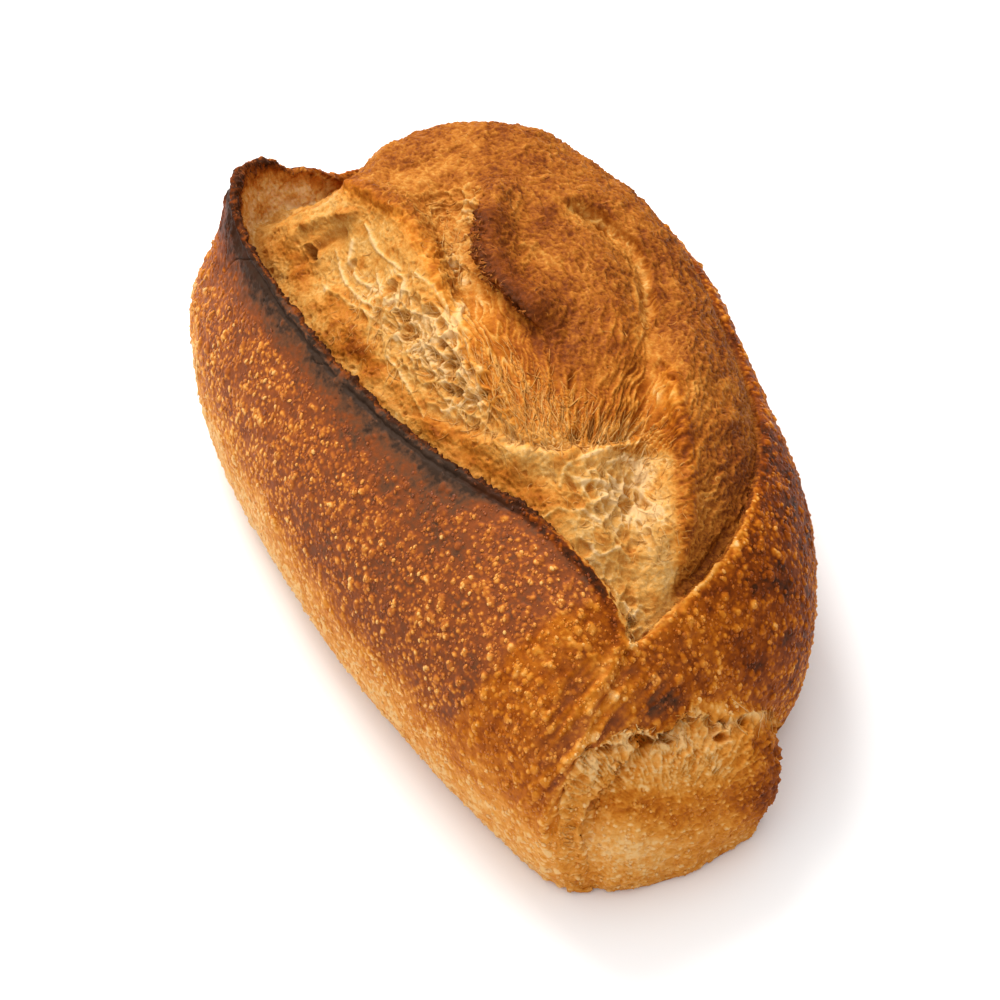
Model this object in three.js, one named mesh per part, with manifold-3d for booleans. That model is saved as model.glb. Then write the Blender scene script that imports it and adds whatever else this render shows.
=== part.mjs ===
// A sourdough country loaf: an oval batard, slashed once along its length and baked dark.
// The slash has opened into a wide bloom of torn crumb under a tall charred ear,
// and the front end has burst under the crust into a second, rounder bulge.
//
// Millimetres. +X runs along the loaf to the burst end, +Y to the side of the high dome
// (the ear is on the -Y side), +Z is up. The origin is under the middle, on the flat base.

import * as THREE from "three";
import { mergeVertices } from "three/addons/utils/BufferGeometryUtils.js";
import Module from "manifold-3d";

// ---- Driving sizes ----

const GIRTH_HEIGHT = 38; // height of the widest line above the base
const CROWN_HEIGHT = 113; // height of the dome, before crags
const MIDDLE = new THREE.Vector2(-22, 16); // plan point under the crown, where the columns meet
const LOWER_ROUND = 2.4; // power of the curve from the girth down to the base
const CAP_SHARE = 2.4; // powers of the cap that rises from the girth to the crown
const CAP_RISE = 2.0;
const LIP_THICKNESS = 3.4; // crust thickness at the torn lip
const LIP_CROWN = 0.7; // how far the middle of the lip's edge stands up

// Rows and columns of the shell.
const COLUMNS = 118;
const BLOOM_ROWS = 24;
const CRUST_ROWS = 12;
const LOWER_ROWS = 4;
const CURVE_STEPS = 720; // readings taken along a plan curve

const TURN = Math.PI * 2;
const clamp01 = (v) => Math.min(1, Math.max(0, v));
const smooth = (v) => {
  const c = clamp01(v);
  return c * c * (3 - 2 * c);
};

// ---- Plan curves ----

const planCurve = (places) =>
  new THREE.CatmullRomCurve3(
    places.map(([x, y]) => new THREE.Vector3(x, y, 0)),
    true,
    "centripetal",
  );

// The edge of the flat base. The front corner on the ear side stands almost straight under the girth.
const footLine = planCurve([
  [124, -12], // front, inside the bulge
  [117, 16],
  [98, 41],
  [62, 61],
  [15, 72], // dome side
  [-35, 77],
  [-80, 69],
  [-108, 49],
  [-123, 24],
  [-126, 0], // back
  [-122, -30],
  [-108, -54],
  [-78, -68],
  [-28, -71], // ear side
  [28, -66],
  [73, -58],
  [107, -51],
  [130, -43], // corner beside the burst
  [129, -28],
]);

// The widest line of the loaf: blunt at the burst end, squarer at the back on the ear side.
const girthLine = planCurve([
  [130, -8], // front
  [122, 20],
  [108, 50],
  [70, 73.5],
  [20, 83], // dome side
  [-37, 90],
  [-86, 81],
  [-120, 58],
  [-137, 28],
  [-137, 0], // back
  [-133, -34],
  [-123, -66],
  [-87, -82],
  [-30, -84.5], // ear side
  [30, -79],
  [78, -69],
  [110, -59],
  [132, -47], // corner beside the burst
]);

// The torn lip that rings the bloom: from the front V up the dome side, round the back, then along the ear.
const lipLine = planCurve([
  [106, -12], // front V
  [98, 13],
  [85, 37],
  [62, 57],
  [36, 70],
  [0, 80.5], // hidden under the dome
  [-45, 83],
  [-88, 72],
  [-117, 48],
  [-131, 24],
  [-131, 2],
  [-128, -14],
  [-125, -27], // the ear begins
  [-124, -40],
  [-118, -51],
  [-107, -58],
  [-88, -62],
  [-55, -60],
  [-25, -56],
  [0, -50],
  [25, -42],
  [45, -33],
  [57, -27],
  [75, -20],
  [91, -14],
]);

// Distance from the middle to a plan curve in the direction of a plan point.
function reachOf(curve) {
  const readings = curve.getPoints(CURVE_STEPS).map(({ x, y }) => {
    const arm = new THREE.Vector2(x, y).sub(MIDDLE);
    return { turn: arm.angle(), length: arm.length() };
  });
  readings.sort((a, b) => a.turn - b.turn);
  return (p) => {
    const turn = p.clone().sub(MIDDLE).angle();
    const next = readings.findIndex((r) => r.turn >= turn);
    const after = readings[next < 0 ? 0 : next];
    const before = readings.at(next < 0 ? -1 : next - 1);
    const gap = (after.turn - before.turn + TURN) % TURN || 1;
    const share = ((turn - before.turn + TURN) % TURN) / gap;
    return before.length + (after.length - before.length) * share;
  };
}

const girthReach = reachOf(girthLine);
const footReach = reachOf(footLine);

// ---- Values that change along the lip ----
// Read by the share of the lip line's length, from 0 at the front V.

// A smooth closed reading through [share, value] pairs.
function around(pairs) {
  return (along) => {
    const t = along - Math.floor(along);
    const next = pairs.findIndex(([c]) => c > t);
    const [c0, v0] = pairs.at(next < 1 ? -1 : next - 1);
    const [c1, v1] = pairs[Math.max(0, next)];
    const gap = (c1 - c0 + 1) % 1;
    return v0 + (v1 - v0) * smooth(((t - c0 + 1) % 1) / gap);
  };
}

// How far the lip stands above the plain cap: low under the dome, high at the ear's curled end.
const lipLift = around([
  [0.1, 0],
  [0.17, -3],
  [0.48, -4],
  [0.55, 0],
  [0.58, 12],
  [0.6, 26],
  [0.63, 26],
  [0.65, 21],
  [0.68, 12],
  [0.73, 6],
  [0.78, 3],
  [0.83, 0],
]);

// Depth of the groove from the lip's edge to the root of the bloom.
const grooveDepth = around([
  [0.0, 4],
  [0.06, 6],
  [0.14, 4],
  [0.22, 2],
  [0.5, 2],
  [0.58, 12],
  [0.62, 24],
  [0.66, 24],
  [0.73, 17],
  [0.8, 10],
  [0.88, 7],
  [0.95, 5],
]);

// How far the root lies under the lip, towards the outside; below zero the wall shows.
const undercut = around([
  [0.0, 0.5],
  [0.06, 2.5],
  [0.2, 0.5],
  [0.52, -1],
  [0.6, -6],
  [0.66, -3],
  [0.74, 1.5],
  [0.9, 1.5],
]);

// Width of the slope on which the bloom climbs from its root to the dome.
const slopeWidth = around([
  [0.0, 30],
  [0.08, 14],
  [0.2, 8],
  [0.48, 8],
  [0.54, 18],
  [0.59, 40],
  [0.63, 48],
  [0.7, 50],
  [0.85, 44],
  [0.95, 32],
]);

// ---- Relief on the bloom ----
// Each entry is a ridge or hollow along a short plan line: height in the middle, width to each side.

const BLOOM_RELIEF = [
  { name: "far shoulder", line: [[-106, -8], [-104, 22], [-92, 44]], height: 6, width: 15 },
  { name: "crag over the pale slope", line: [[-96, -22], [-66, -14], [-28, -18], [36, -18]], height: 7, width: 7 },
  { name: "trough behind the crag", line: [[-66, 1], [-40, -5], [-20, -8]], height: -7, width: 7 },
  { name: "scorched flap", line: [[-58, 18], [-35, 4], [-18, 2], [-7, 8]], height: 7, width: 7 },
  { name: "seam between lobes", line: [[-40, 46], [-19, 52], [7, 44], [58, 14], [84, -5]], height: -6, width: 8 },
  { name: "dome side ridge", line: [[18, 50], [41, 38], [67, 26], [88, 12]], height: 4, width: 9 },
  { name: "strand bridge", line: [[-104, -50], [-98, -38], [-84, -26]], height: 5, width: 5 },
  { name: "large burst bubble", line: [[-72, -36], [-56, -34]], height: -7, width: 12 },
];

// Distance in plan from p to a line of points.
function distanceToLine(p, line) {
  let nearest = Infinity;
  for (let i = 1; i < line.length; i++) {
    const a = new THREE.Vector2(...line[i - 1]);
    const along = new THREE.Vector2(...line[i]).sub(a);
    const share = clamp01(p.clone().sub(a).dot(along) / along.lengthSq());
    nearest = Math.min(nearest, p.distanceTo(a.addScaledVector(along, share)));
  }
  return nearest;
}

const reliefAt = (p) =>
  BLOOM_RELIEF.reduce((sum, { line, height, width }) => {
    const d = distanceToLine(p, line) / width;
    return sum + height * Math.exp(-d * d);
  }, 0);

// ---- The body ----

// Height of the cap, 0 to 1, at a share of the way from the middle to the girth, and its inverse.
const capHeight = (share) => (1 - clamp01(share) ** CAP_SHARE) ** (1 / CAP_RISE);
const capShare = (height) => (1 - clamp01(height) ** CAP_RISE) ** (1 / CAP_SHARE);
const CAP = CROWN_HEIGHT - GIRTH_HEIGHT;

// One column of points through a place on the lip, from inside the bloom out and down to the base.
function column(along) {
  const place = lipLine.getPointAt(along);
  const lip = new THREE.Vector2(place.x, place.y);
  const outward = lip.clone().sub(MIDDLE).normalize();
  const tangent = lipLine.getTangentAt(along);
  const inward = new THREE.Vector2(-tangent.y, tangent.x);
  const reach = girthReach(lip);
  const rim = MIDDLE.clone().addScaledVector(outward, reach);
  const lipShare = lip.distanceTo(MIDDLE) / reach;
  const lift = lipLift(along);
  const lipHeight = GIRTH_HEIGHT + CAP * capHeight(lipShare) + lift;
  const rootHeight = lipHeight - grooveDepth(along);
  const innerLip = lip.clone().addScaledVector(inward, LIP_THICKNESS);
  const root = innerLip.clone().addScaledVector(inward, -undercut(along));
  const points = [];
  const put = (p, z) => points.push([p.x, p.y, z]);

  for (let i = 1; i <= BLOOM_ROWS; i++) {
    const p = MIDDLE.clone().lerp(root, i / BLOOM_ROWS);
    const crown = GIRTH_HEIGHT + CAP * capHeight(p.distanceTo(MIDDLE) / reach);
    const climb = clamp01(p.distanceTo(root) / slopeWidth(along));
    const climbed = 1 - (1 - climb) ** 2;
    put(p, rootHeight + (crown + reliefAt(p) - rootHeight) * climbed);
  }
  put(root.clone().lerp(innerLip, 0.75), lipHeight - 0.45 * grooveDepth(along));
  put(innerLip.clone().addScaledVector(inward, -0.1 * LIP_THICKNESS), lipHeight);
  put(innerLip.clone().lerp(lip, 0.5), lipHeight + LIP_CROWN);

  // The crust from the lip to the girth. The ear's lift fades down the first part of it.
  const lipCap = capHeight(lipShare);
  for (let i = 0; i <= CRUST_ROWS; i++) {
    const turn = (i / CRUST_ROWS) * (Math.PI / 2);
    const height = lipCap * Math.cos(turn);
    const share = (capShare(height) - lipShare) / (1 - lipShare);
    const faded = lift * (1 - smooth(i / (0.62 * CRUST_ROWS)));
    put(lip.clone().lerp(rim, clamp01(share)), GIRTH_HEIGHT + CAP * height + faded);
  }
  const foot = MIDDLE.clone().addScaledVector(outward, footReach(lip));
  for (let i = 1; i <= LOWER_ROWS; i++) {
    const turn = (i / LOWER_ROWS) * (Math.PI / 2);
    const tuck = 1 - Math.cos(turn) ** (2 / LOWER_ROUND);
    const down = Math.sin(turn) ** (2 / LOWER_ROUND);
    put(rim.clone().lerp(foot, tuck), GIRTH_HEIGHT * (1 - down));
  }
  return points;
}

// A closed shell from columns of points, with a pole at each end.
function shell(columns, firstPole, lastPole) {
  const rows = columns[0].length;
  const positions = [firstPole, ...columns.flat(), lastPole].flat();
  const at = (c, r) => 1 + (c % columns.length) * rows + r;
  const last = positions.length / 3 - 1;
  const index = [];
  for (let c = 0; c < columns.length; c++) {
    index.push(0, at(c, 0), at(c + 1, 0));
    for (let r = 1; r < rows; r++) {
      index.push(at(c, r - 1), at(c, r), at(c + 1, r - 1));
      index.push(at(c + 1, r - 1), at(c, r), at(c + 1, r));
    }
    index.push(last, at(c + 1, rows - 1), at(c, rows - 1));
  }
  return new THREE.BufferGeometry()
    .setAttribute("position", new THREE.Float32BufferAttribute(positions, 3))
    .setIndex(index);
}

function loafBody() {
  const columns = Array.from({ length: COLUMNS }, (_, i) => column(i / COLUMNS));
  const crown = [MIDDLE.x, MIDDLE.y, CROWN_HEIGHT + reliefAt(MIDDLE)];
  return shell(columns, crown, [MIDDLE.x, MIDDLE.y, 0]);
}

// ---- The burst front ----

const BURST = {
  mouth: { centre: [139, -6, 22], radii: [25, 37, 52], planPower: 2, heightPower: 2 }, // cut out of the crust
  bulge: { centre: [104, -6, 18], radii: [38, 39, 45], planPower: 3.4, heightPower: 2.3 }, // came through it
};

// A ball with lumps, as a closed mesh.
function lumpyBall({ centre, radii, planPower, heightPower }, lumps, wide, high) {
  const ball = new THREE.SphereGeometry(1, wide, high);
  ball.deleteAttribute("uv");
  ball.deleteAttribute("normal");
  ball.rotateX(Math.PI / 2);
  const merged = mergeVertices(ball, 1e-5);
  const place = merged.getAttribute("position");
  const p = new THREE.Vector3();
  for (let i = 0; i < place.count; i++) {
    p.fromBufferAttribute(place, i);
    const turn = Math.atan2(p.z, p.y);
    const flat = (Math.abs(p.x) ** planPower + Math.abs(p.y) ** planPower) ** (1 / planPower);
    p.divideScalar((flat ** heightPower + Math.abs(p.z) ** heightPower) ** (1 / heightPower));
    const offAxis = Math.hypot(p.y, p.z);
    const lump = lumps.reduce((sum, [waves, size, phase]) => sum + size * Math.sin(waves * turn + phase), 0);
    p.multiplyScalar(1 + lump * offAxis);
    p.multiply(new THREE.Vector3(...radii)).add(new THREE.Vector3(...centre));
    place.setXYZ(i, p.x, p.y, p.z);
  }
  return merged;
}

// ---- Joining ----

const wasm = await Module();
wasm.setup();

const solid = (geometry) =>
  new wasm.Manifold(
    new wasm.Mesh({
      numProp: 3,
      vertProperties: new Float32Array(geometry.getAttribute("position").array),
      triVerts: new Uint32Array(geometry.getIndex().array),
    }),
  );

function geometryOf(manifold) {
  const { vertProperties, triVerts } = manifold.getMesh();
  return new THREE.BufferGeometry()
    .setAttribute("position", new THREE.BufferAttribute(vertProperties, 3))
    .setIndex(new THREE.BufferAttribute(triVerts, 1));
}

const mouth = lumpyBall(BURST.mouth, [[5, 0.04, 1], [9, 0.02, 2]], 40, 28);
const bulge = lumpyBall(BURST.bulge, [[3, 0.03, 0.5]], 40, 28);
const aboveTable = new THREE.BoxGeometry(400, 400, 300);
aboveTable.translate(0, 0, 150);
const tableSide = mergeVertices(aboveTable.deleteAttribute("normal").deleteAttribute("uv"), 1e-5);

const loafSolid = solid(loafBody()).subtract(solid(mouth)).add(solid(bulge)).intersect(solid(tableSide));
const loafGeometry = geometryOf(loafSolid);

// The origin goes under the middle of the whole.
loafGeometry.computeBoundingBox();
const whole = loafGeometry.boundingBox;
loafGeometry.translate(-(whole.min.x + whole.max.x) / 2, -(whole.min.y + whole.max.y) / 2, -whole.min.z);

const bakedCrust = new THREE.MeshStandardMaterial({ color: 0xb0672a, roughness: 0.7, metalness: 0 });
const loaf = new THREE.Mesh(loafGeometry, bakedCrust);
loaf.name = "loaf";

const model = new THREE.Group();
model.add(loaf);

export default model;
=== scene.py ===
import math
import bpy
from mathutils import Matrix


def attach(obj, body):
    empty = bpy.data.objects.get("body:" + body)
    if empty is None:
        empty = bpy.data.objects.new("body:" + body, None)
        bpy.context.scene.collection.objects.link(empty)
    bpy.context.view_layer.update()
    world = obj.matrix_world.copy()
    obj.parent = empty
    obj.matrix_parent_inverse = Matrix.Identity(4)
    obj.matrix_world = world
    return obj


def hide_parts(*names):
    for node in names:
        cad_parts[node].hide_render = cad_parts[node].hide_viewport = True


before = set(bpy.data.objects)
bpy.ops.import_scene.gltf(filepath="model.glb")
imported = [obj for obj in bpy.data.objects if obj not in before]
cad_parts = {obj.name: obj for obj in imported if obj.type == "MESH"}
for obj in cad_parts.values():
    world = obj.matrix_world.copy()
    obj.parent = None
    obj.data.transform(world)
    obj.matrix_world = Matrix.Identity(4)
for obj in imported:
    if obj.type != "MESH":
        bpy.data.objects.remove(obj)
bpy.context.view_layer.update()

from types import SimpleNamespace

import bpy
import numpy as np
from mathutils import Quaternion, Vector
from mathutils.bvhtree import BVHTree
from mathutils.geometry import tessellate_polygon
from mathutils.kdtree import KDTree

# ---------------- sizes, in mm unless a name says otherwise
MM = 0.001

# The photograph's camera, round the loaf's own frame.
CAMERA_AZIMUTH = math.radians(65.5)
CAMERA_ELEVATION = math.radians(52.0)
CAMERA_AIM = np.array((8.05, -14.56, 45.0))
CAMERA_DISTANCE = 1100.0
LENS = 120.0
SENSOR = 36.0
PHOTO_SIDE = 1000.0  # pixels
FOCAL = LENS / SENSOR * PHOTO_SIDE  # pixels
HORIZON = -0.12  # points that face the camera less than this lie past the horizon
OUT_OF_VIEW = 2000.0  # pixels

# The skin is rebuilt from even faces and eased, then cut across into closed slices of equal weight.
SKIN_FACE = 0.52
SKIN_EASE = 6
SLICES = 8
CUT_DEPTH = 6.0
CUT_EVEN = 8  # border points to each side that a cut's depth is evened over
CUT_SLACK = 3.0  # how far a border may lie from its cut

# How many of each small thing; small blisters fill their pieces up to the most triangles.
LARGE_BLISTERS = 2600
MOST_TRIANGLES = 184000
SLOPE_STRANDS = 1300
DOME_CURLS = 1200
FLAP_SHREDS = 110
RIM_SHREDS = 600

# The crust's lip round the slash, as the solid has it: from the front V by the dome and the back to the ear.
LIP_SHIFT = np.array((-1.95, -2.56))
LIP_LINE = [
    (106, -12), (98, 13), (85, 37), (62, 57), (36, 70), (0, 80.5), (-45, 83), (-88, 72), (-117, 48),
    (-131, 24), (-131, 2), (-128, -14), (-125, -27), (-124, -40), (-118, -51), (-107, -58), (-88, -62),
    (-55, -60), (-25, -56), (0, -50), (25, -42), (45, -33), (57, -27), (75, -20), (91, -14),
]
LIP_STEPS = 5  # points on the curve between two of the line's
EAR_SHARES = (0.56, 0.60, 0.90, 0.97)  # where round the lip the ear rises and ends

# The burst at the front: the torn mouth and the bulge of dough that came out of it.
MOUTH_CENTRE = np.array((137.05, -8.56, 22.0))
MOUTH_RADII = np.array((25.0, 37.0, 52.0))
BULGE_CENTRE = np.array((102.05, -8.56, 18.0))
BULGE_RADII = np.array((38.0, 39.0, 45.0))
BULGE_PLAN_POWER = 3.4
BULGE_HEIGHT_POWER = 2.3

# ---------------- places on the loaf, in pixels of the photograph
CRAG = [(345, 185), (400, 215), (428, 255), (436, 290), (465, 338), (485, 400), (520, 440), (600, 450)]
CRACK = [(574, 206), (600, 220), (630, 246), (645, 275), (650, 312)]
FLAP_EDGE = [(478, 222), (474, 245), (484, 270), (500, 290), (524, 314)]
ORANGE_RIDGE = [(672, 375), (682, 420), (690, 470), (688, 520), (680, 560)]
LEDGE = [(425, 420), (470, 432), (520, 446), (560, 452), (610, 446), (640, 436)]
RIGHT_LIP = [(757, 440), (757, 478), (739, 534), (705, 582), (680, 598), (645, 626), (628, 648)]
STRAND_BRIDGE = [(289, 243), (302, 228), (320, 218), (353, 212)]
# The hollow under the strand bridge: sunk, and given a painted shadow.
EAR_HOLLOW = [(302, 258), (320, 246), (340, 236)]
# The dark gap by the V: sunk, and darkened with painted shade.
V_GAP = [(728, 530), (702, 572), (680, 592)]
V_FOLD = [(627, 652), (612, 690), (596, 725), (578, 768), (560, 805), (553, 832)]
TEAR_EDGE = [
    (561, 797), (577, 758), (595, 749), (616, 735), (639, 728), (657, 735), (680, 730), (694, 700),
    (710, 722), (726, 723), (749, 712), (771, 710), (785, 728),
]
TORN_OUTLINE = [(570, 892), (555, 860)] + TEAR_EDGE
BULGE_SEAM = [(582, 815), (583, 860), (588, 892)]
DRAWN_DOUGH = [(600, 775), (680, 765), (750, 765)]
FAN_CENTRE = (562.0, 540.0)
FLAP_MIDDLE = (505.0, 320.0)
BULGE_MIDDLE = (668.0, 835.0)

# Where one thing fades into the next: a pixel across or down where it is gone, and one where it is whole.
DOME_FOOT = (470, 440)
RIGHT_SLOPE = (668, 684)
FAN_FOOT = (455, 446)
CRAG_FOOT = (455, 430)
RIDGE_SHADE = (400, 440)
BURST_TOP = 700
BURST_RIGHT = 782
BULGE_BLISTERS_TOP = 785

# Directions over the photograph that the slope's strands and the fold's pleats follow.
SLOPE_WAY = (-0.40, 0.92)
CROSS_WAY = (0.60, 0.80)
PLEAT_WAY = (-0.66, 0.75)
FLAP_SHRED_WAY = (-0.8, 0.6)

# Bright raised strands of the slope and of the pocket by the V.
STRAND_WIDTH = 1.9
STRANDS = [
    [(338, 251), (343, 277), (358, 298), (373, 305)],
    [(352, 240), (349, 262), (360, 282), (376, 290)],
    [(379, 276), (380, 292), (390, 303), (402, 297), (405, 280), (394, 270)],
    [(396, 339), (403, 322), (416, 322), (424, 338), (412, 348)],
    [(441, 294), (452, 322), (454, 346), (450, 363)],
    [(407, 352), (426, 346), (446, 333)],
    [(416, 273), (433, 286), (444, 303)],
    [(326, 288), (343, 299), (364, 311), (392, 333)],
    [(441, 376), (463, 370), (478, 382), (474, 397)],
    [(388, 356), (404, 382), (424, 416)],
    [(441, 410), (468, 404), (495, 401)],
    [(365, 225), (378, 250), (400, 270)],
    [(425, 340), (432, 362), (446, 372)],
    [(455, 300), (462, 330), (470, 352), (484, 372)],
    [(561, 487), (564, 470), (574, 462), (605, 449), (641, 444)],
    [(641, 460), (644, 475), (641, 496), (626, 524)],
    [(583, 482), (596, 479), (609, 486), (606, 497), (590, 500), (583, 490), (583, 482)],
    [(611, 492), (622, 490), (625, 499), (614, 503), (611, 492)],
    [(606, 463), (624, 458), (640, 468), (634, 486), (618, 486), (608, 474)],
    [(543, 519), (560, 508), (584, 510), (600, 520)],
    [(590, 545), (600, 556), (616, 548), (628, 560)],
    [(626, 606), (633, 618), (640, 606)],
    [(634, 616), (631, 632), (640, 628)],
]

# Regions and shades, each as strokes: a line of pixels, its half width in pixels, and how strong it is.
FOAMY = [
    ([(400, 315), (440, 360), (475, 402)], 28, 1.0), ([(440, 330), (460, 300)], 14, 0.7),
    ([(585, 485), (640, 515)], 30, 0.95), ([(590, 545), (632, 625)], 22, 0.6),
    ([(466, 195), (456, 275)], 13, 0.8),
]
SKINNED = [
    ([(335, 238), (360, 240), (385, 262)], 24, 1.0), ([(560, 540), (610, 600)], 26, 0.5),
    ([(642, 285), (652, 330)], 11, 0.7),
]
FAN = [
    ([(480, 320), (510, 360), (545, 400), (590, 425), (640, 425)], 42, 1.0),
    ([(620, 330), (670, 440)], 30, 0.5),
]
STRINGY = [
    ([(385, 300), (430, 350), (478, 405)], 36, 1.0), ([(440, 250), (470, 330), (500, 370)], 26, 0.7),
    ([(340, 205), (380, 220)], 26, 0.6),
]
PLEATED = [([(655, 690), (600, 735), (575, 790)], 26, 1.0), ([(590, 690), (545, 800)], 30, 0.7)]
CRUMB_SHADE_WIDER = 1.2
CRUMB_BROWNED = [
    (CRAG[:6], 8, 0.05), ([(488, 240), (505, 262), (522, 292)], 20, 0.16),
    ([(545, 320), (552, 350)], 18, 0.08),
    (ORANGE_RIDGE, 7, 0.04), ([(655, 490), (680, 485)], 13, 0.12), ([(660, 545), (680, 530)], 13, 0.06),
    ([(560, 492), (572, 500)], 11, 0.16), ([(435, 432), (480, 440), (500, 448)], 11, 0.12),
    ([(470, 460), (520, 490), (555, 520)], 13, 0.14), ([(330, 303), (362, 312)], 9, 0.20),
    ([(340, 345), (372, 365)], 10, 0.20), ([(288, 252), (304, 277)], 9, 0.20),
    ([(268, 166), (300, 168), (320, 178)], 9, 0.20), ([(540, 222), (548, 216)], 9, 0.26),
    ([(596, 206), (640, 232), (664, 262)], 5, 0.14), ([(735, 440), (740, 500)], 16, 0.04),
    ([(335, 320), (370, 362), (420, 416), (500, 474), (540, 500)], 8, 0.12),
    ([(560, 340), (620, 350), (645, 290)], 32, 0.09),
]
CRUMB_PALE = [
    ([(345, 275), (372, 290)], 22, 0.08), ([(400, 300), (430, 350), (470, 400)], 34, 0.06),
    ([(466, 195), (470, 235)], 10, 0.30), ([(452, 262), (458, 276)], 8, 0.28), (CRACK, 12, 0.22),
    ([(622, 328), (656, 356)], 15, 0.12), ([(528, 250), (548, 262)], 13, 0.12),
    ([(640, 285), (650, 330)], 13, 0.12),
    ([(650, 360), (668, 400)], 17, 0.14), ([(540, 510), (580, 550), (610, 590), (632, 630)], 22, 0.05),
    ([(600, 500), (640, 520)], 26, 0.07), ([(505, 438), (530, 442), (600, 440), (640, 432)], 14, 0.20),
    ([(300, 205), (318, 200)], 20, 0.08), ([(380, 175), (430, 190)], 14, 0.14),
    ([(445, 155), (462, 178)], 13, 0.10),
    ([(432, 215), (455, 255), (475, 310)], 20, 0.20), ([(470, 325), (515, 375), (550, 405)], 34, 0.17),
    ([(610, 380), (650, 400)], 30, 0.12), ([(700, 400), (710, 520)], 26, 0.10),
    ([(650, 480), (665, 560)], 26, 0.19),
]
CRUST_SHADES = [
    ([(650, 705), (690, 700)], 17, 0.17), ([(745, 660), (765, 690)], 22, 0.12),
    ([(610, 665), (590, 720), (560, 800)], 14, -0.20), ([(698, 700), (716, 716), (745, 718)], 7, -0.26),
]
# On the bulge: its own brown shoulder band, and painted light and shade that round it: painted shade down its
# right side and in the crease by its seam, and a pale patch of painted light low on its left.
BULGE_TONES_AND_PAINTED_LIGHT = [
    ([(610, 800), (680, 812), (735, 800)], 17, 0.20), ([(775, 745), (770, 800)], 28, 0.46),
    ([(566, 785), (574, 840), (588, 875)], 12, 0.14), ([(590, 845), (650, 855)], 22, -0.22),
    ([(640, 870), (730, 850)], 16, 0.08),
]

# The deepest pores, whose bowls also get painted shade: middle and half sizes in pixels, turn in degrees, and
# depth in mm.
PITS = [
    ((312, 254), (9, 6), 60, 8.0), ((392, 287), (11, 6), -60, 2.6), ((352, 268), (10, 5), -70, 1.6),
    ((409, 333), (13, 9), 40, 2.4), ((452, 362), (10, 7), 20, 2.0), ((455, 390), (12, 8), 10, 2.2),
    ((472, 400), (9, 7), 0, 1.8), ((440, 345), (7, 5), 60, 1.8), ((402, 362), (4, 2), 60, 1.6),
    ((417, 368), (2, 5), 0, 1.8), ((470, 208), (7, 5), 70, 2.0), ((466, 228), (8, 6), 60, 2.0),
    ((454, 268), (9, 5), 75, 2.6), ((592, 428), (5, 14), 10, 2.6), ((575, 438), (6, 10), 0, 2.2),
    ((572, 380), (4, 12), 15, 2.0), ((588, 486), (11, 8), 0, 1.0), ((632, 548), (7, 10), 10, 1.2),
    ((632, 602), (7, 6), 0, 1.8), ((631, 624), (5, 8), 0, 3.0), ((603, 226), (8, 4), 30, 1.6),
    ((650, 296), (9, 8), 0, 1.2), ((660, 366), (9, 7), 20, 1.3), ((672, 380), (6, 4), 0, 1.4),
]

# Holes under the torn edge, sunk and darkened with painted shade: middle and half sizes in pixels.
TORN_HOLES = [
    ((639, 740), (12, 7)), ((668, 741), (6, 4)), ((744, 720), (7, 5)), ((608, 750), (10, 6)),
    ((722, 738), (9, 5)),
]

# Where thin strands lie: a line of pixels, how far round it, the share of the strands and how they run.
STRAND_PLACES = [
    ([(395, 305), (440, 355), (480, 410)], 24, 0.30, "slope"),
    ([(340, 260), (370, 300), (350, 330)], 26, 0.06, "slope"),
    ([(500, 405), (560, 425), (640, 425)], 20, 0.30, "fan"),
    ([(480, 340), (520, 380), (560, 400)], 22, 0.12, "fan"),
    ([(640, 430), (660, 500), (660, 560)], 22, 0.10, "any"),
    ([(590, 480), (630, 520)], 28, 0.06, "any"),
    ([(540, 470), (600, 560), (632, 630)], 20, 0.02, "any"),
    ([(440, 200), (460, 260)], 14, 0.04, "slope"),
]
STRAND_SHARES = [place[2] for place in STRAND_PLACES]

# Where threads hang from a tear: a line of pixels, the pixel they run to, how long they are and how many.
TORN_PLACES = [
    (TEAR_EDGE[1:6], (660, 860), 10.0, 46),
    (TEAR_EDGE[5:8], (672, 860), 9.0, 30),
    (TEAR_EDGE[8:], (690, 850), 9.0, 36),
    ([(574, 780), (566, 815), (564, 850)], (640, 850), 4.0, 14),
    ([(628, 612), (632, 628), (628, 646)], (640, 600), 4.0, 16),
]

# ---------------- noise
CORNERS = [(i, j, k) for i in (0, 1) for j in (0, 1) for k in (0, 1)]
NEIGHBOURS = [(i, j, k) for i in (-1, 0, 1) for j in (-1, 0, 1) for k in (-1, 0, 1)]


def ease(low, high, value):
    """0 at low, 1 at high, and a smooth step between them."""
    t = np.clip((value - low) / (high - low), 0.0, 1.0)
    return t * t * (3 - 2 * t)


def bell(value, width):
    """1 where the value is 0, fading to both sides over this width."""
    return np.exp(-((value / width) ** 2))


def ridges(field, width):
    """1 where a noise crosses 0, fading over this width: a net of thin lines."""
    return np.clip(1 - np.abs(field) / width, 0, 1)


def hashed(cell, turn):
    """A repeatable number from 0 to 255 for each cell of a grid."""
    x, y, z = (cell[:, 0] & 255), cell[:, 1], cell[:, 2]
    return turn[(turn[(turn[x] + y) & 255] + z) & 255]


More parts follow.
